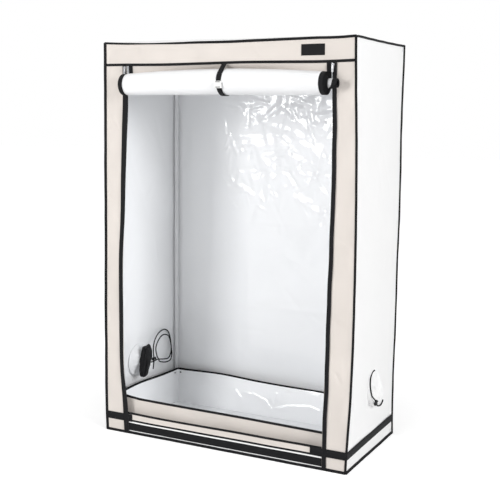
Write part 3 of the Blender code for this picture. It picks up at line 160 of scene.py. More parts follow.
# %% Mesh helpers
def mesh_object(name, points, faces, uv, finishes, face_finish, nodes=(), slot=None):
    """A mesh piece from arrays of points, quads, UVs (one pair per point) and a finish index per quad."""
    mesh = bpy.data.meshes.new(name)
    mesh.from_pydata(points.reshape(-1, 3).tolist(), [], faces.tolist())
    corners = np.empty(len(mesh.loops), dtype=np.int32)
    mesh.loops.foreach_get("vertex_index", corners)
    layer = mesh.uv_layers.new(name="metres")
    layer.data.foreach_set("uv", uv.reshape(-1, 2)[corners].astype(np.float32).ravel())
    for finish in finishes:
        mesh.materials.append(finish)
    mesh.polygons.foreach_set("material_index", np.broadcast_to(face_finish, len(faces)).astype(np.int32))
    mesh.polygons.foreach_set("use_smooth", np.ones(len(faces), bool))
    mesh.update()
    obj = bpy.data.objects.new(name, mesh)
    bpy.context.scene.collection.objects.link(obj)
    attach(obj, ROOT)
    if nodes:
        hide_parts(*nodes)
    return obj


def normals_of(points):
    """Unit normals of a grid of points: the cross product of its two directions."""
    normal = np.cross(np.gradient(points, axis=0), np.gradient(points, axis=1))
    return normal / np.maximum(np.linalg.norm(normal, axis=-1, keepdims=True), 1e-12)


def grid_quads(rows, columns):
    """Corner numbers of the faces of a grid of points, one face between each four neighbours."""
    index = np.arange(rows * columns).reshape(rows, columns)
    return np.stack([index[:-1, :-1], index[1:, :-1], index[1:, 1:], index[:-1, 1:]], axis=-1)


def run_along(points):
    """How far each point of a path is from its start: the sum of the steps before it."""
    return np.concatenate([[0], np.cumsum(np.linalg.norm(np.diff(points, axis=0), axis=1))])


def cloth(name, front, back, uv, finishes, other_finish=0, keep=True, **keys):
    """A piece of cloth between two grids of points, front and back, with a rim round its edge.

    finishes are the front's and the back's. Where other_finish is above zero, both faces have that one of
    the list. Faces where keep is false are left out. A side that no neighbour shares gets a rim face, from
    the front's two points to the back's.
    """
    quads = grid_quads(*front.shape[:2])
    count = front.shape[0] * front.shape[1]
    first = np.zeros(quads.shape[:2], int) + other_finish
    second = np.where(first > 0, first, 1)
    kept = np.ones(quads.shape[:2], bool) & keep
    skin = quads[kept]
    sides = np.concatenate([skin[:, [k, (k + 1) % 4]] for k in range(4)])
    free = ~np.isin(sides[:, 0] * count + sides[:, 1], sides[:, 1] * count + sides[:, 0])
    rim = sides[free]
    edge = np.column_stack([rim[:, 1], rim[:, 0], rim[:, 0] + count, rim[:, 1] + count])
    faces = np.concatenate([skin, skin[:, ::-1] + count, edge])
    face_finish = np.concatenate([first[kept], second[kept], np.full(len(edge), 0)])
    points = np.concatenate([front.reshape(-1, 3), back.reshape(-1, 3)])
    both = np.concatenate([uv.reshape(-1, 2), uv.reshape(-1, 2)])
    return mesh_object(name, points, faces, both, finishes, face_finish, **keys)


def swept(name, path, outline, side, rise, finish, closed_ends=True, **keys):
    """An outline carried along a path: path point + a · side + b · rise for each (a, b) of the outline.

    side and rise are directions, the same ones all along or one at each point. A closed end draws in to 2 %.
    """
    path, outline = np.asarray(path, float), np.asarray(outline, float)
    side = np.broadcast_to(np.asarray(side, float), path.shape)
    rise = np.broadcast_to(np.asarray(rise, float), path.shape)
    rings = (path[:, None] + outline[None, :, :1] * side[:, None] + outline[None, :, 1:] * rise[:, None])
    rings = np.concatenate([rings, rings[:, :1]], axis=1)
    girth = run_along(np.concatenate([outline, outline[:1]]))
    uv = np.stack(np.meshgrid(run_along(path), girth, indexing="ij"), axis=-1)
    if closed_ends:
        middle = rings[:, :-1].mean(axis=1)
        caps = [middle[0] + (rings[0] - middle[0]) * 0.02, middle[-1] + (rings[-1] - middle[-1]) * 0.02]
        rings = np.concatenate([caps[:1], rings, caps[1:]])
        uv = np.concatenate([uv[:1], uv, uv[-1:]])
    quads = grid_quads(*rings.shape[:2])[..., [0, 3, 2, 1]].reshape(-1, 4)
    return mesh_object(name, rings, quads, uv, [finish], 0, **keys)


def line(start, end, step=0.010):
    """Points from start to end, about a step apart."""
    start, end = np.asarray(start, float), np.asarray(end, float)
    count = max(2, int(np.linalg.norm(end - start) / step) + 1)
    return start + np.linspace(0, 1, count)[:, None] * (end - start)


def smooth_route(points, count):
    """Points at equal steps along a smooth curve through a route's points, and the curve's length.

    Each span is a cubic whose slope at a point is half the step from its neighbour before to the one after.
    """
    knots = np.asarray(points, float)
    padded = np.vstack([2 * knots[0] - knots[1], knots, 2 * knots[-1] - knots[-2]])
    share = np.linspace(0, 1, 40, endpoint=False)[:, None]
    pieces = []
    for i in range(len(knots) - 1):
        a, b, c, d = padded[i:i + 4]
        pieces.append(0.5 * (2 * b + (c - a) * share + (2 * a - 5 * b + 4 * c - d) * share ** 2
                             + (3 * b - a - 3 * c + d) * share ** 3))
    dense = np.vstack(pieces + [knots[-1:]])
    run = run_along(dense)
    wanted = np.linspace(0, run[-1], count)
    return np.stack([np.interp(wanted, run, dense[:, k]) for k in range(3)], axis=1), run[-1]


print("mesh helpers ready; a 3 by 3 grid of points has", len(grid_quads(3, 3).reshape(-1, 4)), "faces")

# %% [markdown]
# ## Wrinkles
#
# Cloth and film crease in several ways. Soft cloth has round folds, drawn here as bumps along short lines.
# Thin film buckles into flat facets that meet in sharp lines: beside each line the height rises evenly, like
# a roof, and fades with distance. Film that sags has lips, steep on one side. Noise in a Displace modifier
# has no such lines, so each one is placed: listed one by one, or by a seeded generator that gives the same
# every run.

# %% Wrinkle functions
def along_and_across(u, v, centre_u, centre_v, degrees):
    """Each place's distance along a slanted line and across it, both from the line's centre."""
    c, s = math.cos(math.radians(degrees)), math.sin(math.radians(degrees))
    return (u - centre_u) * c + (v - centre_v) * s, (v - centre_v) * c - (u - centre_u) * s


def folds(u, v, rows):
    """Height of round folds. Each row is (u, v, degrees, length, width, height): a bump along a line.

    height · exp(−(across / width)²) · exp(−(along / length)⁴)
    """
    total = np.zeros_like(u)
    for *line_place, length, width, height in rows:
        along_line, across = along_and_across(u, v, *line_place)
        total += height * np.exp(-(across / width) ** 2 - (along_line / length) ** 4)
    return total


def facets(u, v, rows, edge=0.0025):
    """Height of sharp creases. Each row is (u, v, degrees, length, reach, slope): a ridge with flat flanks.

    slope · (reach/2 − √(across² + edge²)) · exp(−(along/length)⁴ − (across/reach)²)
    """
    total = np.zeros_like(u)
    for *line_place, length, reach, slope in rows:
        along_line, across = along_and_across(u, v, *line_place)
        fade = np.exp(-(along_line / length) ** 4 - (across / reach) ** 2)
        total += slope * (reach / 2 - np.sqrt(across ** 2 + edge ** 2)) * fade
    return total


def lips(u, v, rows):
    """Height of soft lips. Each row is (u, v, degrees, length, width, height), steep on one side only.

    height · exp(−(across/width)² − (along/length)⁴), with four times the width on the lower side
    """
    total = np.zeros_like(u)
    for *line_place, length, width, height in rows:
        along_line, across = along_and_across(u, v, *line_place)
        wide = np.where(across < 0, 4 * width, width)
        total += height * np.exp(-(across / wide) ** 2 - (along_line / length) ** 4)
    return total


def scattered(seed, count, box, degrees, length, width, height):
    """Random rows for folds or facets, in a (u, v) box: each value between its limits, the sign by chance."""
    draw = np.random.default_rng(seed)
    low_u, low_v, high_u, high_v = box
    spans = ((low_u, high_u), (low_v, high_v), degrees, length, width, height)
    rows = np.column_stack([draw.uniform(low, high, count) for low, high in spans])
    rows[:, 5] *= draw.choice((-1, 1), count)
    return rows


def swell(u, v, seed, size, count=9):
    """A gentle random surface between about −1 and 1: a sum of sines about size long, in all directions."""
    draw = np.random.default_rng(seed)
    total = np.zeros_like(u)
    for degrees, phase, stretch in zip(draw.uniform(0, 360, count), draw.uniform(0, 6.28, count),
                                       draw.uniform(0.7, 1.5, count)):
        c, s = math.cos(math.radians(degrees)), math.sin(math.radians(degrees))
        total += np.sin(2 * math.pi * (u * c + v * s) / (size * stretch) + phase)
    return total / math.sqrt(count)


print("one fold is", float(folds(np.zeros(1), np.zeros(1), [(0, 0, 0, 0.1, 0.01, 0.002)])[0]), "m high")

# %% [markdown]
# ## Finishes
#
# Each finish is made of nodes. The effects that several finishes share are node groups, made once here: a
# weave of crossing threads, a patchy change of brightness, and dashes of stitching along a tape. A picture of
# cloth could be wrapped round the tent instead, but nodes stay sharp at any distance and have no seams.

# %% Shared effects as node groups
def new_group(name, inputs, outputs):
    """An empty node group. inputs are (name, type, default) and outputs are (name, type)."""
    tree = bpy.data.node_groups.new(name, "ShaderNodeTree")
    for label, kind, default in inputs:
        socket = tree.interface.new_socket(label, in_out="INPUT", socket_type=kind)
        if default is not None:
            socket.default_value = default
    for label, kind in outputs:
        tree.interface.new_socket(label, in_out="OUTPUT", socket_type=kind)
    return tree, tree.nodes.new("NodeGroupInput"), tree.nodes.new("NodeGroupOutput")


def math_node(tree, operation, first, second=None, third=None):
    """A math node whose inputs are sockets or plain numbers. Returns its output socket."""
    node = tree.nodes.new("ShaderNodeMath")
    node.operation = operation
    for socket, value in zip(node.inputs, (first, second, third)):
        if isinstance(value, (int, float)):
            socket.default_value = value
        elif value is not None:
            tree.links.new(value, socket)
    return node.outputs[0]


def placed_group(tree, group, place, values):
    """A group node in a material, its Vector linked to a place, with its own values. Returns its output."""
    node = tree.nodes.new("ShaderNodeGroup")
    node.node_tree = group
    tree.links.new(place, node.inputs["Vector"])
    for label, value in values.items():
        node.inputs[label].default_value = value
    return node.outputs[0]


def make_weave():
    """Crossing threads: the higher of two rounded waves, one along U and one along V, as a height 0 to 1."""
    tree, come, go = new_group("weave", [("Vector", "NodeSocketVector", None),
                                         ("Threads per metre", "NodeSocketFloat", 900.0)],
                               [("Height", "NodeSocketFloat")])
    split = tree.nodes.new("ShaderNodeSeparateXYZ")
    tree.links.new(come.outputs["Vector"], split.inputs[0])
    waves = []
    for axis in range(2):
        turns = math_node(tree, "MULTIPLY", split.outputs[axis], come.outputs["Threads per metre"])
        wave = math_node(tree, "SINE", math_node(tree, "MULTIPLY", turns, 2 * math.pi))
        waves.append(math_node(tree, "MULTIPLY_ADD", wave, 0.5, 0.5))
    tree.links.new(math_node(tree, "MAXIMUM", *waves), go.inputs["Height"])
    return tree


def make_patches():
    """A colour whose brightness drifts in soft patches: colour · (1 + amount · (noise − 0.5))."""
    tree, come, go = new_group("patches", [("Vector", "NodeSocketVector", None),
                                           ("Colour", "NodeSocketColor", (0.8, 0.8, 0.8, 1)),
                                           ("Scale", "NodeSocketFloat", 6.0),
                                           ("Amount", "NodeSocketFloat", 0.05)],
                               [("Colour", "NodeSocketColor")])
    noise = tree.nodes.new("ShaderNodeTexNoise")
    noise.inputs["Detail"].default_value = 4
    tree.links.new(come.outputs["Vector"], noise.inputs["Vector"])
    tree.links.new(come.outputs["Scale"], noise.inputs["Scale"])
    centred = math_node(tree, "SUBTRACT", noise.outputs[0], 0.5)
    factor = math_node(tree, "MULTIPLY_ADD", centred, come.outputs["Amount"], 1.0)
    scale = tree.nodes.new("ShaderNodeVectorMath")
    scale.operation = "SCALE"
    tree.links.new(come.outputs["Colour"], scale.inputs[0])
    tree.links.new(factor, scale.inputs["Scale"])
    tree.links.new(scale.outputs[0], go.inputs["Colour"])
    return tree


def make_stitches():
    """Dashes of thread along U at a distance V from the tape's edge, as a mask 0 or 1."""
    tree, come, go = new_group("stitches", [("Vector", "NodeSocketVector", None),
                                            ("Pitch", "NodeSocketFloat", 0.004),
                                            ("Line", "NodeSocketFloat", 0.002),
                                            ("Width", "NodeSocketFloat", 0.0006)],
                               [("Mask", "NodeSocketFloat")])
    split = tree.nodes.new("ShaderNodeSeparateXYZ")
    tree.links.new(come.outputs["Vector"], split.inputs[0])
    step = math_node(tree, "DIVIDE", split.outputs[0], come.outputs["Pitch"])
    dash = math_node(tree, "LESS_THAN", math_node(tree, "FRACT", step), 0.7)
    away = math_node(tree, "ABSOLUTE", math_node(tree, "SUBTRACT", split.outputs[1], come.outputs["Line"]))
    near = math_node(tree, "LESS_THAN", away, come.outputs["Width"])
    tree.links.new(math_node(tree, "MULTIPLY", dash, near), go.inputs["Mask"])
    return tree


WEAVE, PATCHES, STITCHES = make_weave(), make_patches(), make_stitches()
print("node groups:", [tree.name for tree in (WEAVE, PATCHES, STITCHES)])

# %% [markdown]
# ## Materials
#
# The colours are linear. The outside cloth is a warm off-white with a weave, and its tapes are black with a
# line of stitches. The film inside is white under a thin clear coat, so it mirrors the lamps in its creases.
# The left port's lining and the rolled door have no such coat. The film on the door's slipped core is white
# film like the rest, and its grey is painted shade, the shade inside the roll's end, with coarse patches of
# painted shade for its dark streaks. The frame is steel under white enamel, and the small fittings are
# moulded plastic.

# %% Materials
THREAD_COLOUR = (0.05, 0.05, 0.055, 1)
FILM = dict(grain=0.00010, grain_scale=45, patches=0.03)


def shader(name, colour, roughness, metallic=0.0, specular=0.5, coat=0.0, coat_rough=0.2, patches=0.05,
           patch_scale=6.0, source="UV", weave=0.0, threads=900.0, grain=0.0, grain_scale=60.0, stitch=None):
    """A Principled finish: patchy colour, and a bump from a weave or a grain. Returns the material.

    source is UV for cloth, whose UVs are in metres, or Object for hard pieces. weave and grain are the bump's
    depth in metres, and stitch is the distance of a line of stitches from the edge of a tape.
    """
    material = bpy.data.materials.new(name)
    material.use_nodes = True
    tree = material.node_tree
    surface = tree.nodes["Principled BSDF"]
    surface.inputs["Roughness"].default_value = roughness
    surface.inputs["Metallic"].default_value = metallic
    surface.inputs["Specular IOR Level"].default_value = specular
    surface.inputs["Coat Weight"].default_value = coat
    surface.inputs["Coat Roughness"].default_value = coat_rough
    place = tree.nodes.new("ShaderNodeTexCoord").outputs[source]
    base = placed_group(tree, PATCHES, place,
                        {"Colour": (*colour, 1), "Scale": patch_scale, "Amount": patches})
    if stitch:
        mix = tree.nodes.new("ShaderNodeMix")
        mix.data_type = "RGBA"
        mix.inputs["B"].default_value = THREAD_COLOUR
        tree.links.new(placed_group(tree, STITCHES, place, {"Line": stitch}), mix.inputs["Factor"])
        tree.links.new(base, mix.inputs["A"])
        base = mix.outputs["Result"]
    tree.links.new(base, surface.inputs["Base Color"])
    height = None
    if weave:
        height = placed_group(tree, WEAVE, place, {"Threads per metre": threads})
    elif grain:
        noise = tree.nodes.new("ShaderNodeTexNoise")
        noise.inputs["Scale"].default_value = grain_scale
        noise.inputs["Detail"].default_value = 3
        tree.links.new(place, noise.inputs["Vector"])
        height = noise.outputs[0]
    if height:
        bump = tree.nodes.new("ShaderNodeBump")
        bump.inputs["Distance"].default_value = weave or grain
        bump.inputs["Strength"].default_value = 1
        tree.links.new(height, bump.inputs["Height"])
        tree.links.new(bump.outputs[0], surface.inputs["Normal"])
    return material


# The beige's strong soft patches are partly the cloth's own uneven tone and partly painted shade for the soft
# wrinkles of the front, which the frontal lamps leave unshaded.
BEIGE_CLOTH = shader("beige_cloth", (0.715, 0.662, 0.618), 0.75, weave=0.00012, threads=500, patches=0.22,
                     patch_scale=3.5, specular=0.3)
WHITE_CLOTH = shader("white_cloth", (0.90, 0.90, 0.90), 0.60, weave=0.00010, threads=500, patches=0.03,
                     specular=0.3)
WHITE_FILM = shader("white_film", (0.95, 0.96, 0.975), 0.50, coat=1.0, coat_rough=0.045, patch_scale=4,
                    specular=0.2, **FILM)
LINING = shader("sleeve_lining", (0.93, 0.94, 0.955), 0.50, patch_scale=5, specular=0.2, **FILM)
SATIN_FILM = shader("satin_film", (0.86, 0.865, 0.875), 0.30, patch_scale=5, specular=0.5, **FILM)
# Grey painted shade: the white film of the door's slipped core as it lies in the shade of the roll's end,
# with dark patches of painted shade for its streaks.
SHADED_STUB_FILM = shader("painted_shade_stub_film", (0.50, 0.50, 0.51), 0.35, patches=0.35, patch_scale=40, specular=0.5)
BLACK_CLOTH = shader("black_cloth", (0.010, 0.010, 0.011), 0.50, weave=0.00015, threads=700, patches=0.6,
                     patch_scale=40, specular=0.15)
BLACK_TAPE = shader("black_tape", (0.010, 0.010, 0.011), 0.70, weave=0.00010, threads=800, patches=0.4,
                    patch_scale=25, specular=0.12, stitch=0.0022)
BLACK_CORD = shader("black_cord", (0.006, 0.006, 0.007), 0.65, weave=0.0002, threads=500, patches=0.4,
                    patch_scale=40, specular=0.1)
BLACK_PLASTIC = shader("black_plastic", (0.010, 0.010, 0.011), 0.35, source="Object", grain=0.00003,
                       grain_scale=900, patches=0.2, patch_scale=90, specular=0.3)
ENAMEL = shader("white_enamel", (0.86, 0.865, 0.88), 0.45, source="Object", grain=0.00002, grain_scale=300,
                patches=0.03, patch_scale=12)
NYLON = shader("white_nylon", (0.72, 0.73, 0.74), 0.42, source="Object", grain=0.00003, grain_scale=500,
               patches=0.05, patch_scale=30)
BUCKLE = shader("buckle_plastic", (0.82, 0.82, 0.81), 0.35, source="Object", grain=0.00002, grain_scale=700,
                patches=0.03, patch_scale=60)
METAL = shader("zip_metal", (0.30, 0.30, 0.31), 0.40, metallic=1.0, source="Object", grain=0.00002,
               grain_scale=900, patches=0.1, patch_scale=200)

NODE_FINISHES = (
    (("post", "rail", "hanging_bar"), ENAMEL), (("corner_",), NYLON), (("buckle",), BUCKLE),
    (("zip_slider", "pull_tab"), METAL), (("lock",), BLACK_PLASTIC), (("cuff",), WHITE_CLOTH),
    (("drawcord",), BLACK_CORD), (("floor_panel",), BLACK_CLOTH), (("tape", "binding", "strap"), BLACK_TAPE),
)
for name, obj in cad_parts.items():
    finish = next((finish for words, finish in NODE_FINISHES if any(word in name for word in words)), None)
    if finish:
        for index in range(len(obj.data.materials)):
            obj.data.materials[index] = finish
print(len(bpy.data.materials), "materials")

# %% [markdown]
# ## Drawcords
#
# A drawcord shuts the sleeve of the left port. It hangs out of the cloth, runs round twice in wide loops and
# ends in a barrel lock. Its route is a list of points from the port's centre, with a smooth curve through
# them, and the CAD solid follows the same one. The right port's cord lies round the crest of its cuff, and
# lifts where it passes through its own lock. A curve with a round bevel makes each cord, so it keeps its
# thickness in every bend.

# %% Cords
LEFT_PORT = np.array((-HALF_X, -0.060, 0.285))
RIGHT_PORT = np.array((HALF_X, 0.000, 0.300))
CORD_RADIUS = 0.0030
LEFT_CORD_ROUTE = [
    (0.067, 0.023, -0.009), (0.065, 0.050, -0.011), (0.064, 0.089, -0.010), (0.050, 0.162, -0.027),
    (0.036, 0.232, -0.038), (0.026, 0.272, -0.016), (0.020, 0.282, 0.022), (0.020, 0.262, 0.066),
    (0.028, 0.210, 0.088), (0.042, 0.154, 0.092), (0.059, 0.097, 0.080), (0.076, 0.052, 0.060),
    (0.088, 0.036, 0.037), (0.088, 0.046, 0.014), (0.078, 0.074, -0.004), (0.056, 0.118, -0.029),
    (0.040, 0.197, -0.052), (0.026, 0.265, -0.057), (0.016, 0.296, -0.036), (0.010, 0.300, 0.003),
    (0.008, 0.294, 0.047), (0.008, 0.274, 0.088), (0.012, 0.228, 0.109), (0.026, 0.155, 0.106),
    (0.044, 0.094, 0.088), (0.059, 0.056, 0.063), (0.069, 0.040, 0.037), (0.072, 0.038, 0.021),
    (0.072, 0.038, 0.005), (0.072, 0.038, -0.011), (0.073, 0.035, -0.027), (0.074, 0.029, -0.045),
]
CUFF_RADIUS, CUFF_TOP, CUFF_BOTTOM = 0.07614, 0.004, 0.0375
CORD_RISE = 0.0037
LOCK_AT, LOCK_SPREAD, LOCK_LIFT = 216, 17, 0.009  # degrees round the cuff, degrees, metres


def cord_curve(name, points, node):
    """A round cord as a curve through points, in place of its CAD solid."""
    curve = bpy.data.curves.new(name, "CURVE")
    curve.dimensions = "3D"
    curve.bevel_depth = CORD_RADIUS
    curve.bevel_resolution = 4
    curve.use_fill_caps = True
    spline = curve.splines.new("POLY")
    spline.points.add(len(points) - 1)
    spline.points.foreach_set("co", np.column_stack([points, np.ones(len(points))]).ravel())
    curve.materials.append(BLACK_CORD)
    obj = bpy.data.objects.new(name, curve)
    bpy.context.scene.collection.objects.link(obj)
    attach(obj, ROOT)
    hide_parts(node)
    return obj


left_points, left_length = smooth_route(LEFT_PORT + np.array(LEFT_CORD_ROUTE), 320)
left_cord = cord_curve("left_drawcord", left_points, "drawcord_left")
tuple(left_points[0])

degrees = np.linspace(84, 304, 200)
turned_by = np.radians(degrees)
lift = LOCK_LIFT * np.exp(-((degrees - LOCK_AT) / LOCK_SPREAD) ** 4)
stand = CUFF_TOP + (CUFF_BOTTOM - CUFF_TOP) * (1 - np.sin(turned_by)) / 2 + CORD_RISE + lift
crest = np.stack([stand, CUFF_RADIUS * np.cos(turned_by), CUFF_RADIUS * np.sin(turned_by)], axis=1)
cord_curve("right_drawcord", RIGHT_PORT + crest, "drawcord_right")
print("left drawcord:", round(left_length, 3), "m")

# %% [markdown]
# ## The shell
#
# The cover is sewn from flat panels, and the poles hold them taut. One function makes each of them: it lays
# a grid in the panel's plane, bends it with the shell's bow, presses the wrinkles into it and gives it its
# two skins. A port is a round hole, and the grid's points near its rim move onto the circle. A cloth
# simulation would need pins at every seam; a formula gives the same taut cloth at once.

# %% Panels of the shell
def samples(low, high, step, extra=()):
    """Even places from low to high about a step apart, with some extra ones kept exactly."""
    even = np.linspace(low, high, max(2, int(round((high - low) / step)) + 1))
    return np.unique(np.concatenate([even, [value for value in extra if low < value < high]]))


def panel(name, place, u, v, outward, relief, finishes, nodes, slot, hole=None, other_finish=0,
          thickness=CLOTH, calm=True):
    """A bowed panel: bow(place(u, v)) + outward · relief(u, v) · fade gives its outer face.

    fade is a smooth step from 0 to 1 between 4 and 26 mm from the panel's edge, where the tapes hold the
    cloth flat, and 1 everywhere unless calm. hole is a round port as (u, v, radius).
    """
    grid_u, grid_v = np.meshgrid(u, v, indexing="ij")
    keep = True
    if hole:
        centre_u, centre_v, radius = hole
        away = np.hypot(grid_u - centre_u, grid_v - centre_v)
        near = np.abs(away - radius) < 0.6 * (u[1] - u[0])
        pull = np.where(near, radius / np.maximum(away, 1e-6), 1)
        grid_u = centre_u + (grid_u - centre_u) * pull
        grid_v = centre_v + (grid_v - centre_v) * pull
        away = np.where(near, radius, away)
        inside = away < radius + 1e-6
        keep = ~(inside[:-1, :-1] & inside[1:, :-1] & inside[1:, 1:] & inside[:-1, 1:])
    outward = np.array(outward, float)
    flat = bow(place(grid_u, grid_v))
    to_edge = np.minimum(np.minimum(grid_u - u[0], u[-1] - grid_u), np.minimum(grid_v - v[0], v[-1] - grid_v))
    fade = np.clip((to_edge - 0.004) / 0.022, 0, 1) if calm else np.ones_like(grid_u)
    front = flat + outward * (relief(grid_u, grid_v) * fade ** 2 * (3 - 2 * fade))[..., None]
    back = front - outward * thickness
    uv = np.stack([grid_u, grid_v], axis=-1)
    return cloth(name, front, back, uv, finishes, other_finish, keep, nodes=nodes, slot=slot)


def stack(*values):
    """Points from arrays or numbers for X, Y and Z."""
    return np.stack(np.broadcast_arrays(*values), axis=-1)


def front_place(u, v):
    """Points of the front's outer face, from X and Z."""
    return stack(u, FRONT, v)


def front_relief(seed):
    """Soft wrinkles of the front cloth: a swell and a scatter of slanted folds, kept shallow.

    limit · tanh(sum / limit), where the limit inwards stops short of the poles
    """
    inwards, outwards = 0.0018, 0.0026
    rows = scattered(seed, 120, (-0.6, 0.05, 0.6, 1.8), (20, 160), (0.02, 0.09), (0.006, 0.018),
                     (0.0006, 0.0034))

    def relief(u, v):
        """The height at each place, from this seed's swell and folds."""
        height = 0.0026 * swell(u, v, seed, 0.16) + folds(u, v, rows)
        limit = np.where(height < 0, inwards, outwards)
        return limit * np.tanh(height / limit)
    return relief


LOW_SEAM, HIGH_SEAM, SIDE = 0.0018, TOP - 0.0018, HALF_Y - 0.0018
PORT_RADIUS, PORT_DRAW, ROOF_PORT = 0.070, 0.0080, (0.000, 0.120)
FRONT_PIECES = [
    ("header_cloth", -0.600, 0.600, HEADER, HIGH_SEAM, "front_header", 11),
    ("left_stile_cloth", -0.600, -0.487, LOW_SEAM, 1.6997, "front_stile_left", 12),
    ("right_stile_cloth", 0.503, 0.600, LOW_SEAM, 1.6997, "front_stile_right", 13),
]
for name, left, right_end, low, high, node, seed in FRONT_PIECES:
    piece = panel(name, front_place, samples(left, right_end, 0.005), samples(low, high, 0.005), (0, -1, 0),
                  front_relief(seed), [BEIGE_CLOTH, WHITE_FILM], [node], "beige_cloth")


def side_relief(seed, size):
    """A side wall's relief: size · a long soft swell, and a few slanted folds."""
    rows = scattered(seed, 26, (-0.28, 0.1, 0.28, 1.75), (40, 140), (0.05, 0.16), (0.010, 0.022),
                     (0.0004, 0.0012))

    def relief(u, v):
        """The height at each place, from this seed's swell and folds."""
        return size * swell(u, v, seed, 0.35) + folds(u, v, rows)
    return relief


def left_relief(u, v):
    """The left wall's relief: the sleeve's weight draws it in round the port, and it creases beside it.

    side relief − PORT_DRAW · exp(−((distance − 60 mm) / 28 mm)²) + creases
    """
    away = np.hypot(u - LEFT_PORT[1], v - LEFT_PORT[2])
    ring = PORT_DRAW * np.exp(-((away - 0.060) / 0.028) ** 2)
    creases = (facets(u, v, [(-0.112, 0.226, -38, 0.050, 0.020, 0.42),
                             (-0.040, 0.372, -19, 0.032, 0.008, 0.30)])
               + folds(u, v, [(-0.13, 0.38, 120, 0.07, 0.010, -0.002)]))
    return side_relief(21, 0.0016)(u, v) - ring + creases


def roof_relief(u, v):
    """The roof's relief: it stands clear of the hanging bars' hooks, and swells a little."""
    return 0.0024 + side_relief(23, 0.0010)(u, v)


wall_u, wall_v = samples(-SIDE, SIDE, 0.008), samples(LOW_SEAM, HIGH_SEAM, 0.008)
left_wall = panel("left_wall", lambda u, v: stack(-HALF_X, u, v), wall_u, wall_v, (-1, 0, 0), left_relief,
                  [WHITE_CLOTH, WHITE_FILM], ["left_panel"], "white_film", hole=(*LEFT_PORT[1:], PORT_RADIUS))
right_wall = panel("right_wall", lambda u, v: stack(HALF_X, u, v), wall_u, wall_v, (1, 0, 0),
                   side_relief(22, 0.0012), [WHITE_CLOTH, WHITE_FILM], ["right_panel"], "white_cloth",
                   hole=(*RIGHT_PORT[1:], PORT_RADIUS))
roof = panel("roof_cloth", lambda u, v: stack(u, v, TOP), samples(-HALF_X, HALF_X, 0.010),
             samples(-HALF_Y, HALF_Y, 0.010), (0, 0, 1), roof_relief, [WHITE_CLOTH, WHITE_FILM],
             ["roof_panel"], "white_cloth", hole=(*ROOF_PORT, PORT_RADIUS))
print("front, sides and roof made")

# %% [markdown]
# ## The back wall
#
# The photograph looks straight at the back wall's white film. It was folded in its box, so a grid of fold
# lines crosses it, and between them the film is crumpled into flat facets that catch the light. The mirror
# image of the front lamp lies just above the visible part, so only a facet that tilts upwards sparkles. Real
# relief is used here and not a bump, because the sparkle depends on each facet's own slope.

# %% Back wall
def back_relief(u, v):
    """Packing folds, long crumples and many small facets: the sum of four sets of facets and a swell.

    Within 100 mm of each side it fades out in a straight line, and there the tapes hold the film flat.
    """
    lines = [
        (-0.003, 1.30, 90, 0.55, 0.030, 0.055), (-0.03, 1.38, 1, 0.30, 0.028, 0.045),
        (-0.01, 0.54, 0, 0.32, 0.030, 0.060), (0.30, 1.10, 88, 0.50, 0.025, 0.030),
        (-0.30, 0.95, 91, 0.55, 0.025, 0.030), (0.08, 0.96, 0, 0.42, 0.024, 0.028),
        (-0.10, 1.26, -58, 0.13, 0.060, 0.080), (0.07, 1.25, -57, 0.14, 0.050, 0.090),
        (0.17, 1.31, -33, 0.13, 0.050, 0.080), (-0.12, 1.34, 3, 0.12, 0.050, 0.070),
        (-0.07, 1.47, 24, 0.11, 0.060, 0.080), (0.11, 1.45, -12, 0.12, 0.060, 0.080),
    ]
    big = scattered(31, 60, (-0.31, 0.98, 0.42, 1.56), (0, 180), (0.03, 0.11), (0.018, 0.040), (0.04, 0.17))
    low = scattered(32, 26, (-0.35, 0.20, 0.50, 0.98), (0, 180), (0.05, 0.16), (0.020, 0.050), (0.01, 0.06))
    small = scattered(33, 150, (-0.32, 1.02, 0.52, 1.60), (0, 180), (0.012, 0.045), (0.008, 0.020),
                      (0.08, 0.30))
    calm = np.clip((HALF_X - np.abs(u)) / 0.10, 0, 1)
    return calm * (facets(u, v, lines) + facets(u, v, big) + facets(u, v, low) + facets(u, v, small, 0.0015)
                   + 0.0030 * swell(u, v, 34, 0.50))


BACK_BULGE = 0.010
back_u, back_v = samples(-HALF_X, HALF_X, 0.006), samples(LOW_SEAM, HIGH_SEAM, 0.006)
back_wall = panel("back_wall", lambda u, v: stack(u, HALF_Y, v), back_u, back_v, (0, 1, 0),
                  lambda u, v: BACK_BULGE * (1 - (u / HALF_X) ** 2) - back_relief(u, v),
                  [WHITE_CLOTH, WHITE_FILM], ["back_panel"], "white_film")
print("back wall:", len(back_wall.data.polygons), "faces")

# %% [markdown]
# ## Sill
#
# The low wall under the doorway is cloth with a broad black band, a piping and a black tape along its top.
# They are sewn on, so the sill is one panel here: its rows of faces are cut exactly at the bands' edges, and
# each row has its own finish. Three loose strips would need to follow every wrinkle of the cloth below them.

# %% Sill
BANDS = ((0.015, 0.051), (0.0570, 0.0665), (0.090, 0.101))
band_edges = [edge + side for low, high in BANDS for edge in (low, high) for side in (-0.0003, 0.0003)]
sill_v = samples(LOW_SEAM, BANDS[2][1], 0.004, band_edges)
sill_middle = (sill_v[:-1] + sill_v[1:]) / 2
sill_black = np.any([(sill_middle > low) & (sill_middle < high) for low, high in BANDS], axis=0)
sill_finish = np.where(sill_black, 2, np.where(sill_middle < BANDS[1][0], 3, 0))


def sill_relief(u, v):
    """The bands stand 1.2 mm proud, and a swell of 1 mm fades in between 12 and 32 mm above the floor."""
    proud = np.any([(v > low) & (v < high + 0.0004) for low, high in BANDS], axis=0) * 0.0012
    return proud + 0.0010 * swell(u, v * 2, 41, 0.22) * np.clip((v - 0.012) / 0.02, 0, 1)


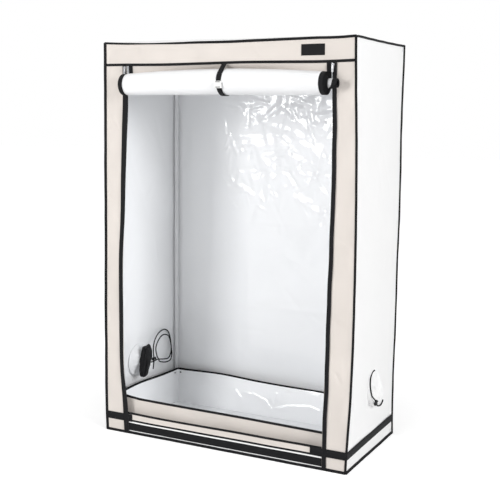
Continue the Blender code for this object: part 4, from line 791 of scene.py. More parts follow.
def sill_place(u, v):
    """The sill's outer face. Its top edge waves: 2 mm · swell along it · height / SILL."""
    dip = 0.002 * swell(u, v * 0, 42, 0.5) * v / SILL
    return stack(u, FRONT, v + dip)


sill = panel("sill_cloth", sill_place, samples(-0.4867, 0.5027, 0.006), sill_v, (0, -1, 0), sill_relief,
             [BEIGE_CLOTH, WHITE_FILM, BLACK_TAPE, WHITE_CLOTH], ["door_sill"], "beige_cloth",
             other_finish=sill_finish, calm=False)
print("sill made")

# %% [markdown]
# ## Tapes
#
# Every edge of the box is bound with folded black tape, and a tape covers the seam under the header. Each
# binding is one section swept along its edge: two legs lie on the two faces, and the sewn seam stands out of
# the corner as a thin fin. The roof's cloth hides a part of the front one, so a table narrows it there. A
# broader webbing runs round the tent near the floor, and on the front it stops short of the doorway.

# %% Edge binding and webbing
WIDE, THICK = 0.0080, 0.0014


def angle_outline(width, fin, lean=45):
    """The tape's section: two flat legs on the two faces and, out of the corner, the sewn seam's thin fin.

    The corner is at (0, 0). The fin points away from it, and lean is its angle from the first leg's line.
    """
    out = -np.array((math.cos(math.radians(lean)), math.sin(math.radians(lean))))
    across = np.array((-out[1], out[0])) * 0.0013
    tip = [out * (fin - 0.001) - across, out * fin - across / 2, out * fin + across / 2,
           out * (fin - 0.001) + across]
    legs = [(width, 0.0004), (width, THICK), (THICK, THICK), (THICK, width), (0.0004, width),
            (0, width - 0.0004)]
    return np.vstack([legs, [(0, 0.0026)], tip, [(0.0026, 0)], [(width - 0.0004, 0)]])


OUT_X, OUT_Y, OUT_Z = HALF_X + CLOTH, HALF_Y + CLOTH, TOP + CLOTH
ON_FLOOR = angle_outline(0.0110, 0.005, 0)
FLOOR_GAP = 0.0002
TOP_FRONT, TOP_RIGHT = 6, 12  # their numbers in the list of edges
NARROWED_AT, NARROWED_TO = (-0.60, -0.50, -0.36, -0.22, -0.10, 0.60), (0.90, 0.80, 0.55, 0.86, 1, 1)
edges = []
for sx in (-1, 1):
    for sy, fin in ((-1, 0.0055), (1, 0.0048)):
        edges.append(((sx * OUT_X, sy * OUT_Y, LOW_SEAM), (sx * OUT_X, sy * OUT_Y, OUT_Z),
                      (-sx, 0, 0), (0, -sy, 0), angle_outline(WIDE, fin)))
for sy in (-1, 1):
    for sz, height, section in ((1, FLOOR_GAP, ON_FLOOR), (-1, OUT_Z, angle_outline(0.0068, 0.0042))):
        edges.append(((-OUT_X, sy * OUT_Y, height), (OUT_X, sy * OUT_Y, height),
                      (0, -sy, 0), (0, 0, sz), section))
for sx in (-1, 1):
    for sz, height, section in ((1, FLOOR_GAP, ON_FLOOR), (-1, OUT_Z, angle_outline(WIDE, 0.0014))):
        edges.append(((sx * OUT_X, -OUT_Y, height), (sx * OUT_X, OUT_Y, height),
                      (-sx, 0, 0), (0, 0, sz), section))
for number, (start, end, first, second, section) in enumerate(edges, 1):
    path = line(start, end)
    run = np.linspace(0, 1, len(path))[:, None] * np.linalg.norm(np.subtract(end, start))
    wave = 0.0008 * swell(run, run * 0, 50 + number, 0.15)
    size = np.ones((len(path), 1))
    if number == TOP_FRONT:
        size = smooth_table(path[:, :1], NARROWED_AT, NARROWED_TO)
    path = bow(path) + wave * (np.array(first) + np.array(second)) * 0.5
    if number == TOP_RIGHT:
        path[:, 2] -= 0.0020 * np.sin(np.linspace(0, np.pi, len(path)))
    swept(f"edge_binding_{number}", path, section, size * first, size * second, BLACK_TAPE,
          nodes=["edge_binding"], slot="black_tape")


def flat_outline(width, thick, round_by=0.0004):
    """A band's section: a rectangle, width along side and thick along rise, with its corners cut off."""
    r = min(round_by, thick / 2)
    return [(0, r), (r, 0), (width - r, 0), (width, r), (width, thick - r), (width - r, thick), (r, thick),
            (0, thick - r)]


HEADER_TAPE_Y, HEADER_TAPE_Z = -HALF_Y - 0.0003, 1.6942
HEADER_TAPE_PLACES = (-0.6, -0.52, -0.31, -0.10, 0.10, 0.29, 0.47, 0.60)
HEADER_TAPE_RISE = (0.0010, 0.0010, -0.0012, 0.0008, 0.0034, 0.0020, 0.0008, 0.0040)
header_path = bow(line((-OUT_X + 0.001, HEADER_TAPE_Y, HEADER_TAPE_Z),
                       (OUT_X - 0.001, HEADER_TAPE_Y, HEADER_TAPE_Z)))
header_path[:, 2] += smooth_table(header_path[:, 0], HEADER_TAPE_PLACES, HEADER_TAPE_RISE)
swept("header_tape", header_path, flat_outline(0.0112, 0.0016), (0, 0, 1), (0, -1, 0), BLACK_TAPE,
      nodes=["edge_binding"], slot="black_tape")

WEBBING_HEIGHT = 0.0605
reach_x, reach_y, turn_by = HALF_X + 0.0016, HALF_Y + 0.0016, 0.004
webbing_start, webbing_end = (-0.460, -reach_y), (0.448, -reach_y)
corners = [(-reach_x, -reach_y), (-reach_x, reach_y), (reach_x, reach_y), (reach_x, -reach_y)]
stops = np.array([webbing_start] + corners + [webbing_end])
ring = [webbing_start]
for before, corner, after in zip(stops, stops[1:], stops[2:]):
    come = (corner - before) / np.linalg.norm(corner - before)
    go = (after - corner) / np.linalg.norm(after - corner)
    for share in np.linspace(0, 1, 5):
        ring.append(tuple(corner - come * turn_by * (1 - share) ** 2 + go * turn_by * share ** 2))
ring.append(webbing_end)
ring = np.vstack([line(a, b, 0.012)[:-1] for a, b in zip(ring, ring[1:])] + [[ring[-1]]])
heading = np.gradient(ring, axis=0)
heading /= np.linalg.norm(heading, axis=1)[:, None]
away = np.column_stack([-heading[:, 1], heading[:, 0], np.zeros(len(ring))])
run = run_along(ring)
droop = 0.003 * np.clip(-ring[:, 0] / HALF_X, 0, 1)
webbing_path = bow(np.column_stack([ring, WEBBING_HEIGHT - droop + 0.0012 * swell(run, run * 0, 61, 0.6)]))
swept("base_webbing_band", webbing_path, flat_outline(0.035, 0.0013), (0, 0, 1), away, BLACK_TAPE,
      nodes=["base_webbing"], slot="black_tape")
print(len(edges) + 2, "tapes made")

# %% [markdown]
# ## Zips
#
# Each zip has a black tape sewn to the front and a coil along its inner edge. The door's other half of each
# zip is the tape on the door's own edges, and it is wound up with the door. The left tape is pulled inwards
# at some heights, and a table gives by how much. Both are one section swept upwards, a flat band with a round
# bead, because the teeth of a coil are finer than a millimetre.

# %% Zip tapes
ZIP_FOLD_HEIGHTS = (0.00, 0.10, 0.31, 0.57, 0.82, 1.08, 1.34, 1.55, 1.65, 1.70)
ZIP_FOLDS = {"left": (0.0080, 0.0080, 0.0005, 0.0025, 0.0015, 0.0045, 0.0080, 0.0090, 0.0020, 0.0000),
             "right": (-0.0015,) * len(ZIP_FOLD_HEIGHTS)}
ZIP_Y, ZIP_LOW, ZIP_HIGH, TAPE = -0.3033, 0.004, 1.6952, 0.020
BEAD_AT, BEAD_RADIUS, TAPE_THICK = 0.0035, 0.0020, 0.0010
bead = [(BEAD_AT - BEAD_RADIUS * math.cos(a), TAPE_THICK + BEAD_RADIUS * math.sin(a))
        for a in np.linspace(0, math.pi, 9)]
section = [(0, 0), (0, TAPE_THICK)] + bead + [(TAPE - 0.0002, TAPE_THICK), (TAPE, 0.0006), (TAPE, 0)]
for side, coil_x, outward in (("left", -0.4905, -1), ("right", 0.5065, 1)):
    inner = coil_x - outward * BEAD_AT
    path = line((inner, ZIP_Y, ZIP_LOW), (inner, ZIP_Y, ZIP_HIGH), 0.008)
    inward = smooth_table(path[:, 2:], ZIP_FOLD_HEIGHTS, ZIP_FOLDS[side])
    path = bow(path)
    path[:, :1] += 0.0007 * swell(path[:, 2:], path[:, 2:] * 0, 80 + len(side), 0.2) - outward * inward
    swept(f"{side}_zip_tape", path, section, (TAPE + inward) / TAPE * (outward, 0, 0), (0, -1, 0), BLACK_TAPE,
          nodes=[f"zip_tape_{side}"], slot="black_tape")
print("zip tapes made")

# %% [markdown]
# ## Spill tray
#
# A shallow tray of white film lines the bottom, to catch water. Its corners stand at different heights, a
# black hem runs round its top, and two studs hold it in a back corner. The back wall leans into the tent and
# sags in soft lips. The whole wall is one sheet: a path once round the tray, raised from the floor to a top
# whose height changes along it, so its four sides stay joined at the rounded corners.

# %% Spill tray
TRAY_X, TRAY_Y, TRAY_ROUND = 0.5707, 0.2707, 0.016
TRAY_LEAN = 0.039
TRAY_LIPS = [
    (-0.194, 0.089, -45, 0.032, 0.0056, 0.0014), (-0.131, 0.100, -4, 0.034, 0.0044, 0.0010),
    (-0.069, 0.088, -17, 0.036, 0.0044, 0.0011), (-0.021, 0.060, -47, 0.029, 0.0044, 0.0011),
    (0.042, 0.056, 16, 0.052, 0.0048, 0.0012), (0.142, 0.076, 7, 0.058, 0.0048, 0.0011),
    (0.222, 0.077, -13, 0.031, 0.0044, 0.0010), (0.006, 0.090, 80, 0.036, 0.0044, 0.0011),
]
TRAY_TOPS = {(-1, -1): 0.1665, (1, -1): 0.1545, (-1, 1): 0.172, (1, 1): 0.156}


def tray_ring():
    """Points once round the tray's outer face, their outward normals, and how far along each one is.

    A corner is an arc round a middle point: middle + TRAY_ROUND · unit, and its unit vector is the normal.
    """
    pieces, out = [], []
    for cx, cy, start in ((1, -1, -90), (1, 1, 0), (-1, 1, 90), (-1, -1, 180)):
        angle = np.radians(start + np.linspace(0, 90, 9))
        unit = np.column_stack([np.cos(angle), np.sin(angle)])
        middle = np.array((cx * (TRAY_X - TRAY_ROUND), cy * (TRAY_Y - TRAY_ROUND)))
        pieces.append(middle + TRAY_ROUND * unit)
        out.append(unit)
    points, normals = np.vstack(pieces), np.vstack(out)
    points, normals = np.vstack([points, points[:1]]), np.vstack([normals, normals[:1]])
    run = run_along(points)
    even = np.linspace(0, run[-1], 700)
    around = np.column_stack([np.interp(even, run, points[:, k]) for k in range(2)])
    normal = np.column_stack([np.interp(even, run, normals[:, k]) for k in range(2)])
    return around, normal / np.linalg.norm(normal, axis=1)[:, None], even


# The top's height: the four corners' heights mixed by place, two humps, and a slow swell.
ring, ring_normal, ring_run = tray_ring()
part_x = np.clip((ring[:, 0] / TRAY_X + 1) / 2, 0, 1)
part_y = np.clip((ring[:, 1] / TRAY_Y + 1) / 2, 0, 1)
tray_top = sum(height * (part_x if sx > 0 else 1 - part_x) * (part_y if sy > 0 else 1 - part_y)
               for (sx, sy), height in TRAY_TOPS.items())
hump = (0.015 * np.exp(-((ring[:, 1] + 0.12) / 0.20) ** 2) * np.clip((-0.45 - ring[:, 0]) / 0.10, 0, 1)
        + 0.008 * np.exp(-((ring[:, 0] + 0.30) / 0.16) ** 2) * part_y)
tray_top = tray_top + hump + 0.0016 * swell(ring_run, ring_run * 0, 91, 0.6)

# The wall: it waves a little all round, and at the back its foot comes forward and it sags in lips.
rise = np.concatenate([[0, 0.006], np.linspace(0.03, 1, 60)])
around = 2 * np.pi * ring_run[:, None] / ring_run[-1]
wave = 0.0016 * np.sin(np.pi * rise) * swell(np.cos(around) * 0.6 + rise * 0.1,
                                             np.sin(around) * 0.6 + 0 * rise, 92, 0.35)
wall_points = np.empty((len(ring), len(rise), 3))
wall_points[..., 2] = 0.0030 + (tray_top[:, None] - 0.0035) * rise
at_back = (np.clip(part_y * 3 - 2, 0, 1) * np.clip(2.2 - np.abs(ring[:, 0]) / TRAY_X * 1.4, 0, 1))[:, None]
wall_lips = lips(ring[:, :1] + 0 * rise, wall_points[..., 2], TRAY_LIPS) * np.sin(np.pi * rise) ** 0.5
tilt = at_back * (TRAY_LEAN * (1 - rise) + wall_lips)
wall_points[..., :2] = ring[:, None] - ring_normal[:, None] * (0.004 + wave + tilt)[..., None]
wall_inside = wall_points.copy()
wall_inside[..., :2] -= ring_normal[:, None] * CLOTH
wall_uv = np.stack(np.meshgrid(ring_run, rise * 0.16, indexing="ij"), axis=-1)
tray_walls = cloth("tray_walls", wall_points, wall_inside, wall_uv, [BEIGE_CLOTH, WHITE_FILM],
                   nodes=["spill_tray"], slot="white_film")
hem_path = np.column_stack([ring - ring_normal * 0.0072, tray_top - 0.0095])
swept("tray_hem", hem_path, flat_outline(0.0105, 0.0054, 0.0012), (0, 0, 1),
      np.column_stack([ring_normal, np.zeros(len(ring))]), BLACK_TAPE, closed_ends=False,
      nodes=["spill_tray"], slot="black_tape")


def tray_floor_relief(u, v):
    """The tray's floor: packing folds and shallow facets, cut off 0.8 mm below the film's mean height.

    Within 60 mm of the walls they fade out in a straight line.
    """
    rows = scattered(95, 40, (-0.55, -0.25, 0.55, 0.25), (0, 180), (0.04, 0.14), (0.015, 0.04),
                     (0.01, 0.05))
    calm = np.clip((TRAY_X - np.abs(u)) / 0.06, 0, 1) * np.clip((TRAY_Y - np.abs(v)) / 0.06, 0, 1)
    lines = [(0, 0, 90, 0.3, 0.03, 0.05), (-0.28, 0, 88, 0.3, 0.03, 0.04), (0.1, 0.02, 0, 0.6, 0.03, 0.04)]
    return 0.0012 + calm * (np.maximum(facets(u, v, rows) + facets(u, v, lines), -0.0008) + 0.0008)


floor_u = samples(-TRAY_X + 0.006, TRAY_X - 0.006, 0.008)
floor_v = samples(-TRAY_Y + 0.006, TRAY_Y - 0.006, 0.008)
tray_floor = panel("tray_floor", lambda u, v: stack(u, v, 0.0034), floor_u, floor_v, (0, 0, 1),
                   tray_floor_relief, [WHITE_FILM, BEIGE_CLOTH], ["spill_tray"], "white_film",
                   thickness=0.0014, calm=False)

# A stud is a turned button: (radius, height) pairs from its foot to its head, carried round a circle.
STUD = np.array([(0, 0), (0.0042, 0), (0.0042, 0.0012), (0.0020, 0.0026), (0, 0.0028)])
STUD_PLACES = (((-0.5622, 0.2330, 0.1530), (0, 1, 0), (1, 0, 0)),
               ((-0.5455, 0.2618, 0.1520), (1, 0, 0), (0, -1, 0)))
radius, height = STUD[:, :1, None], STUD[:, 1:, None]
angle = np.linspace(0, 2 * np.pi, 21)[:, None]
for number, (place, along_wall, away) in enumerate(STUD_PLACES, 1):
    rings = (np.array(place) + radius * np.cos(angle) * along_wall + height * away
             + radius * np.sin(angle) * (0, 0, 1))
    uv = np.zeros(rings.shape[:2] + (2,))
    quads = grid_quads(*rings.shape[:2])[..., [0, 3, 2, 1]].reshape(-1, 4)
    mesh_object(f"tray_stud_{number}", rings, quads, uv, [BLACK_PLASTIC], 0, slot="black_plastic")
print("tray made,", len(tray_walls.data.polygons), "faces in its wall")

# %% [markdown]
# ## The rolled door
#
# The door is one sheet of cloth wound into a spiral of seven and a third turns. It hangs from the header's
# seam, passes behind the roll and winds forwards and inwards, so its inner white face shows outside. The
# roll is thicker in the middle than at its ends, and its core has slipped out to the right, so the tape on
# the door's edge makes a black cone there. A cylinder with a spiral drawn on its end would be quicker, but
# one real sheet gives the gaps between its turns, its hanging part and its length all at once.

# %% Rolled door
DOOR_LEFT, DOOR_RIGHT, DOOR_TAPE = -0.475, 0.4965, 0.020
DOOR_Y, DOOR_TOP, DOOR_LENGTH, CORE = -0.29925, 1.6991, 1.655, 0.011
END_FORWARD, END_Z, END_RADIUS = 0.040, 1.614, 0.0475
MIDDLE_BACK, MIDDLE_UP, MIDDLE_MORE = 0.045, 0.010, 0.0115
SLIP_SLOW, SLIP_FAST, SLIP_FAST_TURNS = 0.014, 0.036, 0.4
STUB_TURNS = 2.2


def roll_shape(share):
    """Centre Y, centre Z and radius of the roll. Each changes evenly with a share: 0 at an end, 1 midway."""
    return (FRONT - (END_FORWARD - MIDDLE_BACK * share), END_Z + MIDDLE_UP * share,
            END_RADIUS + MIDDLE_MORE * share)


def roll_tangent(share):
    """Where the hanging sheet meets the roll's back, as an angle, and how long its straight part is.

    angle = direction of the seam − arccos(radius / reach), and length = √(reach² − radius²)
    """
    centre_y, centre_z, radius = roll_shape(share)
    dy, dz = DOOR_Y - centre_y, DOOR_TOP - centre_z
    reach = np.hypot(dy, dz)
    return np.arctan2(dz, dy) - np.arccos(radius / reach), np.sqrt(reach ** 2 - radius ** 2)


ROLL_TURNS = (DOOR_LENGTH - roll_tangent(1)[1]) / (math.pi * (roll_shape(1)[2] + CORE))


def roll_points(share, turns, offset=0.0):
    """A spiral from the tangent point and forwards, as Y, Z and angle.

    distance from the centre = radius − (radius − CORE) · turns / ROLL_TURNS + offset
    """
    centre_y, centre_z, radius = roll_shape(share)
    angle = roll_tangent(share)[0] - 2 * np.pi * turns
    wound = radius - (radius - CORE) * turns / ROLL_TURNS + offset
    return centre_y + wound * np.cos(angle), centre_z + wound * np.sin(angle), angle


SLIP_FROM = ROLL_TURNS * 0.0290 / 0.0365 - 0.7  # the turn at which the stub starts to slide out


def slip(turns):
    """How far a turn has slid to the right, so that the roll's end is a shallow cone with a stub.

    SLIP_SLOW · (share of the outer turns)^1.5 + SLIP_FAST · a smooth step from SLIP_FROM on
    """
    eased = np.clip((turns - SLIP_FROM) / SLIP_FAST_TURNS, 0, 1)
    return SLIP_SLOW * np.clip((turns - 0.5) / 4.6, 0, 1) ** 1.5 + SLIP_FAST * eased ** 2 * (3 - 2 * eased)


def door_relief(x, turns):
    """Creases of the outer turn: long ones along the roll, short slanted ones beside the strap.

    (long folds + short folds + 1.2 mm · swell) · (1.3 − turns, kept between 0 and 1)
    """
    outer = np.clip(1.3 - turns, 0, 1)
    around = turns * 0.33
    long_folds = scattered(101, 26, (-0.46, 0.0, 0.48, 0.36), (-6, 6), (0.05, 0.20), (0.004, 0.009),
                           (0.0004, 0.0011))
    pinches = scattered(102, 16, (-0.09, 0.10, 0.09, 0.30), (-50, 50), (0.015, 0.04), (0.004, 0.008),
                        (0.0005, 0.0015))
    return outer * (folds(x, around, long_folds) + folds(x, around, pinches)
                    + 0.0012 * swell(x, around, 103, 0.25))


def door_surface(x, turns, lower):
    """Points and outward normals of the door at places x across and after some turns.

    spiral point · (1 − lower) + seam point · lower, where lower is above zero only on the straight part,
    between the seam and the roll
    """
    place = x + slip(turns)
    across = 2 * (place - DOOR_LEFT) / (DOOR_RIGHT - DOOR_LEFT) - 1
    share = 1 - across ** 2
    y, z, angle = roll_points(share, turns, door_relief(x, turns))
    wound = stack(place, y, z)
    seam = stack(x, DOOR_Y, DOOR_TOP)
    points = wound * (1 - lower[..., None]) + seam * lower[..., None]
    return points, stack(0, np.cos(angle), np.sin(angle))


# Rows of the sheet: a few on the straight part, many on the outer turn with its creases, fewer inside.
straight = np.linspace(1, 0, 8)[:-1]
wound_turns = np.concatenate([np.linspace(0, 1.25, 110), np.linspace(1.25, ROLL_TURNS, 170)[1:]])
row_turns = np.concatenate([straight * 0, wound_turns])
row_lower = np.concatenate([straight, wound_turns * 0])
_, _, radius = roll_shape(1)
row_run = np.concatenate([(1 - straight) * roll_tangent(1)[1],
                          roll_tangent(1)[1] + 2 * np.pi * wound_turns
                          * (radius - (radius - CORE) * wound_turns / ROLL_TURNS / 2)])


def door_piece(name, low, high, step, thick, finishes, nodes, slot, stub_shade_finish=0):
    """A strip of the door between two places across its width, with a grey finish of painted shade on the
    slipped stub.
    """
    columns = samples(low, high, step)
    x, turns = np.meshgrid(columns, row_turns)
    lower = np.broadcast_to(row_lower[:, None], x.shape)
    points, out = door_surface(x, turns, lower)
    uv = np.stack(np.broadcast_arrays(x, row_run[:, None]), axis=-1)
    slipped = (row_turns[1:, None] > ROLL_TURNS - STUB_TURNS) & (columns[None, 1:] > 0)
    return cloth(name, points + out * thick / 2, points - out * thick / 2, uv, finishes,
                 slipped * stub_shade_finish, nodes=nodes, slot=slot)


# The slipped stub's turns get the third finish, a grey of painted shade for the white film inside the roll's
# end.
door = door_piece("rolled_door", DOOR_LEFT + DOOR_TAPE, DOOR_RIGHT - DOOR_TAPE, 0.009, 0.0012,
                  [SATIN_FILM, BEIGE_CLOTH, SHADED_STUB_FILM], ["door_panel"], "white_film", 2)
left_band = door_piece("door_zip_half_left", DOOR_LEFT, DOOR_LEFT + DOOR_TAPE, 0.004, 0.0022,
                       [BLACK_TAPE, BLACK_TAPE], ["door_tape_left"], "black_tape")
right_band = door_piece("door_zip_half_right", DOOR_RIGHT - DOOR_TAPE, DOOR_RIGHT, 0.004, 0.0022,
                        [BLACK_TAPE, BLACK_TAPE], ["door_tape_right"], "black_tape")
print(f"door: {ROLL_TURNS:.2f} turns, {len(door.data.polygons)} faces")

# %% [markdown]
# ## Straps
#
# Two straps hold the roll, one over its front and one behind it, and a white side-release buckle joins them.
# Each strap is a band swept along a path that lies on the roll's own spiral and leaves it along a tangent,
# as a pulled strap does. The buckle stays as the CAD model has it.

# %% Straps
STRAP_RISE, STRAP_WIDTH, STRAP_THICK = 0.0030, 0.024, 0.0016
_, buckle_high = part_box("buckle_socket")
strap_low, strap_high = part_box("strap_upper")
plug_low, plug_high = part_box("buckle_plug")
STRAP_X = (strap_low[0] + strap_high[0]) / 2


def strap_path(start, end, straight_from, straight_to=None):
    """Points over the roll's middle from one turn to another, with a straight run before and maybe after."""
    turns = np.linspace(start, end, 40)
    y, z, _ = roll_points(1, turns, STRAP_RISE)
    points = stack(STRAP_X, y, z)
    points = np.vstack([line(straight_from, points[0], 0.006)[:-1], points])
    if straight_to is not None:
        points = np.vstack([points, line(points[-1], straight_to, 0.006)[1:]])
    return points


def strap(name, points, node):
    """A woven strap along points. Its thickness stands square to the path: the heading turned by 90°."""
    heading = np.gradient(points, axis=0)
    heading /= np.linalg.norm(heading, axis=1)[:, None]
    rise = np.column_stack([np.zeros(len(points)), -heading[:, 2], heading[:, 1]])
    outline = np.array(flat_outline(STRAP_WIDTH, STRAP_THICK)) - (STRAP_WIDTH / 2, STRAP_THICK / 2)
    return swept(name, points, outline, (1, 0, 0), rise, BLACK_TAPE, nodes=[node], slot="black_tape")


def leaving_turn(target, low, high):
    """The turn between low and high where a straight run to a point leaves the roll.

    There the way to the target is square to the roll's radius: their product is nearest to zero.
    """
    turns = np.linspace(low, high, 400)
    y, z, angle = roll_points(1, turns, STRAP_RISE)
    return turns[np.argmin(np.abs((target[1] - y) * np.cos(angle) + (target[2] - z) * np.sin(angle)))]


header_end = (STRAP_X, -0.3030, strap_high[2])
turns = np.linspace(0.45, 0.80, 400)
buckle_turn = turns[np.argmin(np.abs(roll_points(1, turns, STRAP_RISE)[1] - buckle_high[2]))]
strap("upper_strap", strap_path(leaving_turn(header_end, buckle_turn, 0.87), buckle_turn, header_end),
      "strap_upper")
plug_end = (STRAP_X, plug_high[1] - 0.0010, plug_low[2])
seam_lap, seam_foot = (STRAP_X, -0.2975, 1.711), (STRAP_X, -0.2970, 1.6990)
lower = strap_path(0.0, leaving_turn(plug_end, 0.25, buckle_turn), seam_foot, plug_end)
strap("lower_strap", np.vstack([line(seam_lap, lower[0], 0.005)[:-1], lower]), "strap_lower")
print("straps made, buckle at turn", round(float(buckle_turn), 3))

# %% [markdown]
# ## Sleeve of the left port
#
# Inside the left port a white lining is gathered into a neck, and the sleeve's loose end hangs from it as a
# folded black bag. Both are turned shapes whose radius is waved round and round, which gives pleats that run
# down the cloth. Sculpting would give freer folds, but these can be counted and changed.

# %% Sleeve
NECK_X, PLEATS, PLEAT_DEPTH, SLEEVE_CLOTH = -0.5982, 11, 0.05, 0.0012
NECK = np.array([
    (0.080, 0.0028, 0), (0.074, 0.0050, 0), (0.069, 0.0076, 0.2), (0.061, 0.0130, 0.5), (0.047, 0.023, 1),
    (0.036, 0.034, 1.2), (0.028, 0.043, 1.2), (0.024, 0.050, 1.0), (0.028, 0.058, 1.0), (0.034, 0.066, 1.2),
])


def sleeve_neck():
    """The neck as a turned profile of (radius, depth into the tent, share of pleats).

    radius · (1 + PLEAT_DEPTH · share · (two cosines of the angle) · (1 + a quarter of its own cosine))
    """
    angle = np.linspace(0, 2 * np.pi, 181)
    pleats = np.cos(PLEATS * angle) + 0.4 * np.cos(2.7 * PLEATS * angle + 1)
    wave = 1 + PLEAT_DEPTH * NECK[:, 2:] * pleats * (np.cos(angle - 0.4) * 0.25 + 1)
    radius = NECK[:, :1] * wave
    points = stack(NECK_X + NECK[:, 1:2], LEFT_PORT[1] + radius * np.cos(angle),
                   LEFT_PORT[2] + radius * np.sin(angle))
    uv = np.stack(np.broadcast_arrays(angle * 0.08, NECK[:, 1:2] + NECK[:, :1]), axis=-1)
    return cloth("sleeve_neck", points, points - normals_of(points) * SLEEVE_CLOTH, uv, [LINING, LINING],
                 nodes=["port_sleeve_left"], slot="white_film")


BAG_TOP, BAG_DROP = 0.3695, 0.159
BAG_HEIGHTS = (0.2105, 0.216, 0.225, 0.233, 0.253, 0.280, 0.306, 0.329, 0.346, 0.358, 0.364, BAG_TOP)
BAG_FRONT_EDGE = (-0.098, -0.116, -0.131, -0.137, -0.137, -0.135, -0.130, -0.122, -0.111, -0.097, -0.068,
                  -0.049)
BAG_BACK_EDGE = (-0.088, -0.068, -0.058, -0.052, -0.039, -0.024, -0.018, -0.017, -0.018, -0.025, -0.034,
                 -0.044)


def sleeve_bag():
    """The bag as rings going down, whose front and back edges in Y follow two tables.

    Each ring is middle + (30, 40) mm · share · pleats · (cosine, sine of the angle), where pleats is 1 and
    three cosines of the angle that turn on the way down, and a swell of 2.6 mm stands on the result.
    """
    heights = np.linspace(0, 1, 60)
    z = BAG_TOP - BAG_DROP * heights
    left = smooth_table(z, BAG_HEIGHTS, BAG_FRONT_EDGE)
    right_side = smooth_table(z, BAG_HEIGHTS, BAG_BACK_EDGE)
    angle = np.linspace(0, 2 * np.pi, 161)[None, :]
    middle, half = ((left + right_side) / 2)[:, None], ((right_side - left) / 2)[:, None]
    sway = 2.2 * heights[:, None]
    fold = (1 + 0.09 * np.cos(7 * angle + sway) + 0.06 * np.cos(12 * angle - 1.6 * sway + 0.7)
            + 0.05 * np.cos(4 * angle + 3 * sway + 2))
    share = half / 0.0708
    depth = 0.030 * share * fold
    wide = 0.040 * share * fold
    points = stack(-0.540 + depth * np.cos(angle), middle + wide * np.sin(angle), z[:, None])
    bumps = 0.0026 * swell(points[..., 1], points[..., 2], 121, 0.045)
    points = points + normals_of(points) * bumps[..., None]
    uv = np.stack(np.broadcast_arrays(angle * 0.06, z[:, None]), axis=-1)
    return cloth("sleeve_bag", points, points + (np.array((-0.533, -0.09, 0.285)) - points) * 0.03, uv,
                 [BLACK_CLOTH, BLACK_CLOTH], nodes=["port_sleeve_left"], slot="black_cloth")


neck = sleeve_neck()
bag = sleeve_bag()
print("sleeve made,", len(neck.data.polygons) + len(bag.data.polygons), "faces")

# %% [markdown]
# ## Label
#
# A bare black label is sewn on the header. It takes the header's own wrinkles and stands 1.3 mm over them,
# so that it can't sink into the cloth.

# %% Label
LABEL_RISE = 0.0013
label_u, label_v = samples(0.363, 0.468, 0.004), samples(1.727, 1.775, 0.004)
header_wrinkles = front_relief(FRONT_PIECES[0][-1])
label = panel("header_label", front_place, label_u, label_v, (0, -1, 0),
              lambda u, v: header_wrinkles(u, v) + LABEL_RISE, [BLACK_TAPE, BLACK_TAPE], [], "black_tape",
              thickness=0.0011, calm=False)
print("label made,", len(label.data.polygons), "faces")

# %% [markdown]
# ## Studio
#
# The floor is pale paper. Four soft lamps light the tent: a small key lamp in front on the left, which gives
# the film its sparkle, a wide weak one round it, one far to the right for the outer side wall, and a weak one
# above. The background is white for the camera and for mirrored rays only, and it lights the object
# moderately. The paper glows a little for the same rays, more with distance, so it runs into the background
# without an edge and keeps the tent's shadow.

# %% Floor, lamps and background
WORLD_LIGHT, PAPER_GLOW_NEAR, PAPER_GLOW_FAR = 0.34, 0.40, 0.70


def seen_rays(tree):
    """A mask that is 1 for camera, glass and mirrored rays, and 0 for those that light a surface."""
    rays = tree.nodes.new("ShaderNodeLightPath")
    seen = math_node(tree, "MAXIMUM", rays.outputs["Is Camera Ray"], rays.outputs["Is Transmission Ray"])
    return math_node(tree, "MAXIMUM", seen, rays.outputs["Is Glossy Ray"])


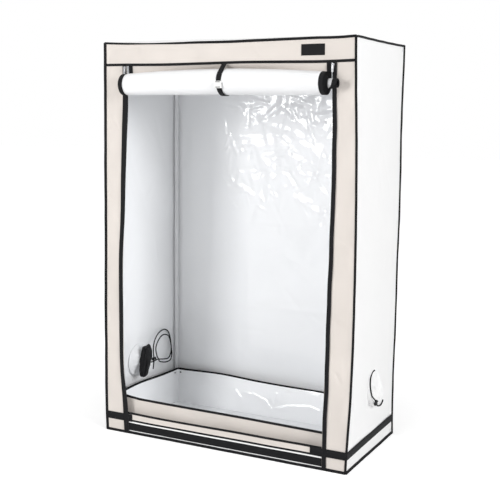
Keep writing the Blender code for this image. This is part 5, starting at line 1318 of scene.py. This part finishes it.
floor_mesh = bpy.data.meshes.new("floor")
floor_mesh.from_pydata([(-30, -30, 0), (30, -30, 0), (30, 30, 0), (-30, 30, 0)], [], [(0, 1, 2, 3)])
paper = shader("floor_paper", (0.92, 0.92, 0.92), 0.9, source="Object", patches=0.0, specular=0.1)
tree = paper.node_tree
length = tree.nodes.new("ShaderNodeVectorMath")
length.operation = "LENGTH"
tree.links.new(tree.nodes.new("ShaderNodeTexCoord").outputs["Object"], length.inputs[0])
far = tree.nodes.new("ShaderNodeMapRange")
for socket, value in (("From Min", 0.7), ("From Max", 2.2), ("To Min", PAPER_GLOW_NEAR),
                      ("To Max", PAPER_GLOW_FAR)):
    far.inputs[socket].default_value = value
tree.links.new(length.outputs["Value"], far.inputs["Value"])
surface = tree.nodes["Principled BSDF"]
surface.inputs["Emission Color"].default_value = (1, 1, 1, 1)
glow = math_node(tree, "MULTIPLY", seen_rays(tree), far.outputs[0])
tree.links.new(glow, surface.inputs["Emission Strength"])
floor_mesh.materials.append(paper)
floor = bpy.data.objects.new("floor", floor_mesh)
bpy.context.scene.collection.objects.link(floor)


def softbox(name, place, target, size, power):
    """A soft rectangular lamp at a place, aimed at a target. Its power is in watts."""
    lamp = bpy.data.lights.new(name, "AREA")
    lamp.shape = "RECTANGLE"
    lamp.size, lamp.size_y = size
    lamp.energy = power
    obj = bpy.data.objects.new(name, lamp)
    obj.location = place
    obj.rotation_euler = (Vector(target) - Vector(place)).to_track_quat("-Z", "Y").to_euler()
    bpy.context.scene.collection.objects.link(obj)


softbox("front_left_lamp", (-1.78, -4.5, 2.15), (0, 0, 0.9), (1.25, 1.7), 84)
softbox("wide_lamp", (-1.3, -4.9, 1.65), (0, 0, 0.8), (3.6, 3.0), 33)
softbox("right_lamp", (7.0, -2.7, 2.9), (0.1, 0, 1.0), (2.0, 2.6), 300)
softbox("top_lamp", (0.2, -0.6, 4.6), (0, 0, 0.9), (3.0, 3.0), 28)

world = bpy.data.worlds.new("studio")
bpy.context.scene.world = world
world.use_nodes = True
tree = world.node_tree
background = tree.nodes["Background"]
strength = tree.nodes.new("ShaderNodeMapRange")
strength.inputs["To Min"].default_value = WORLD_LIGHT
strength.inputs["To Max"].default_value = 1.0
tree.links.new(seen_rays(tree), strength.inputs["Value"])
tree.links.new(strength.outputs[0], background.inputs["Strength"])
background.inputs["Color"].default_value = (1, 1, 1, 1)
bpy.context.scene.view_settings.view_transform = "Standard"
print("lamps:", len(bpy.data.lights))
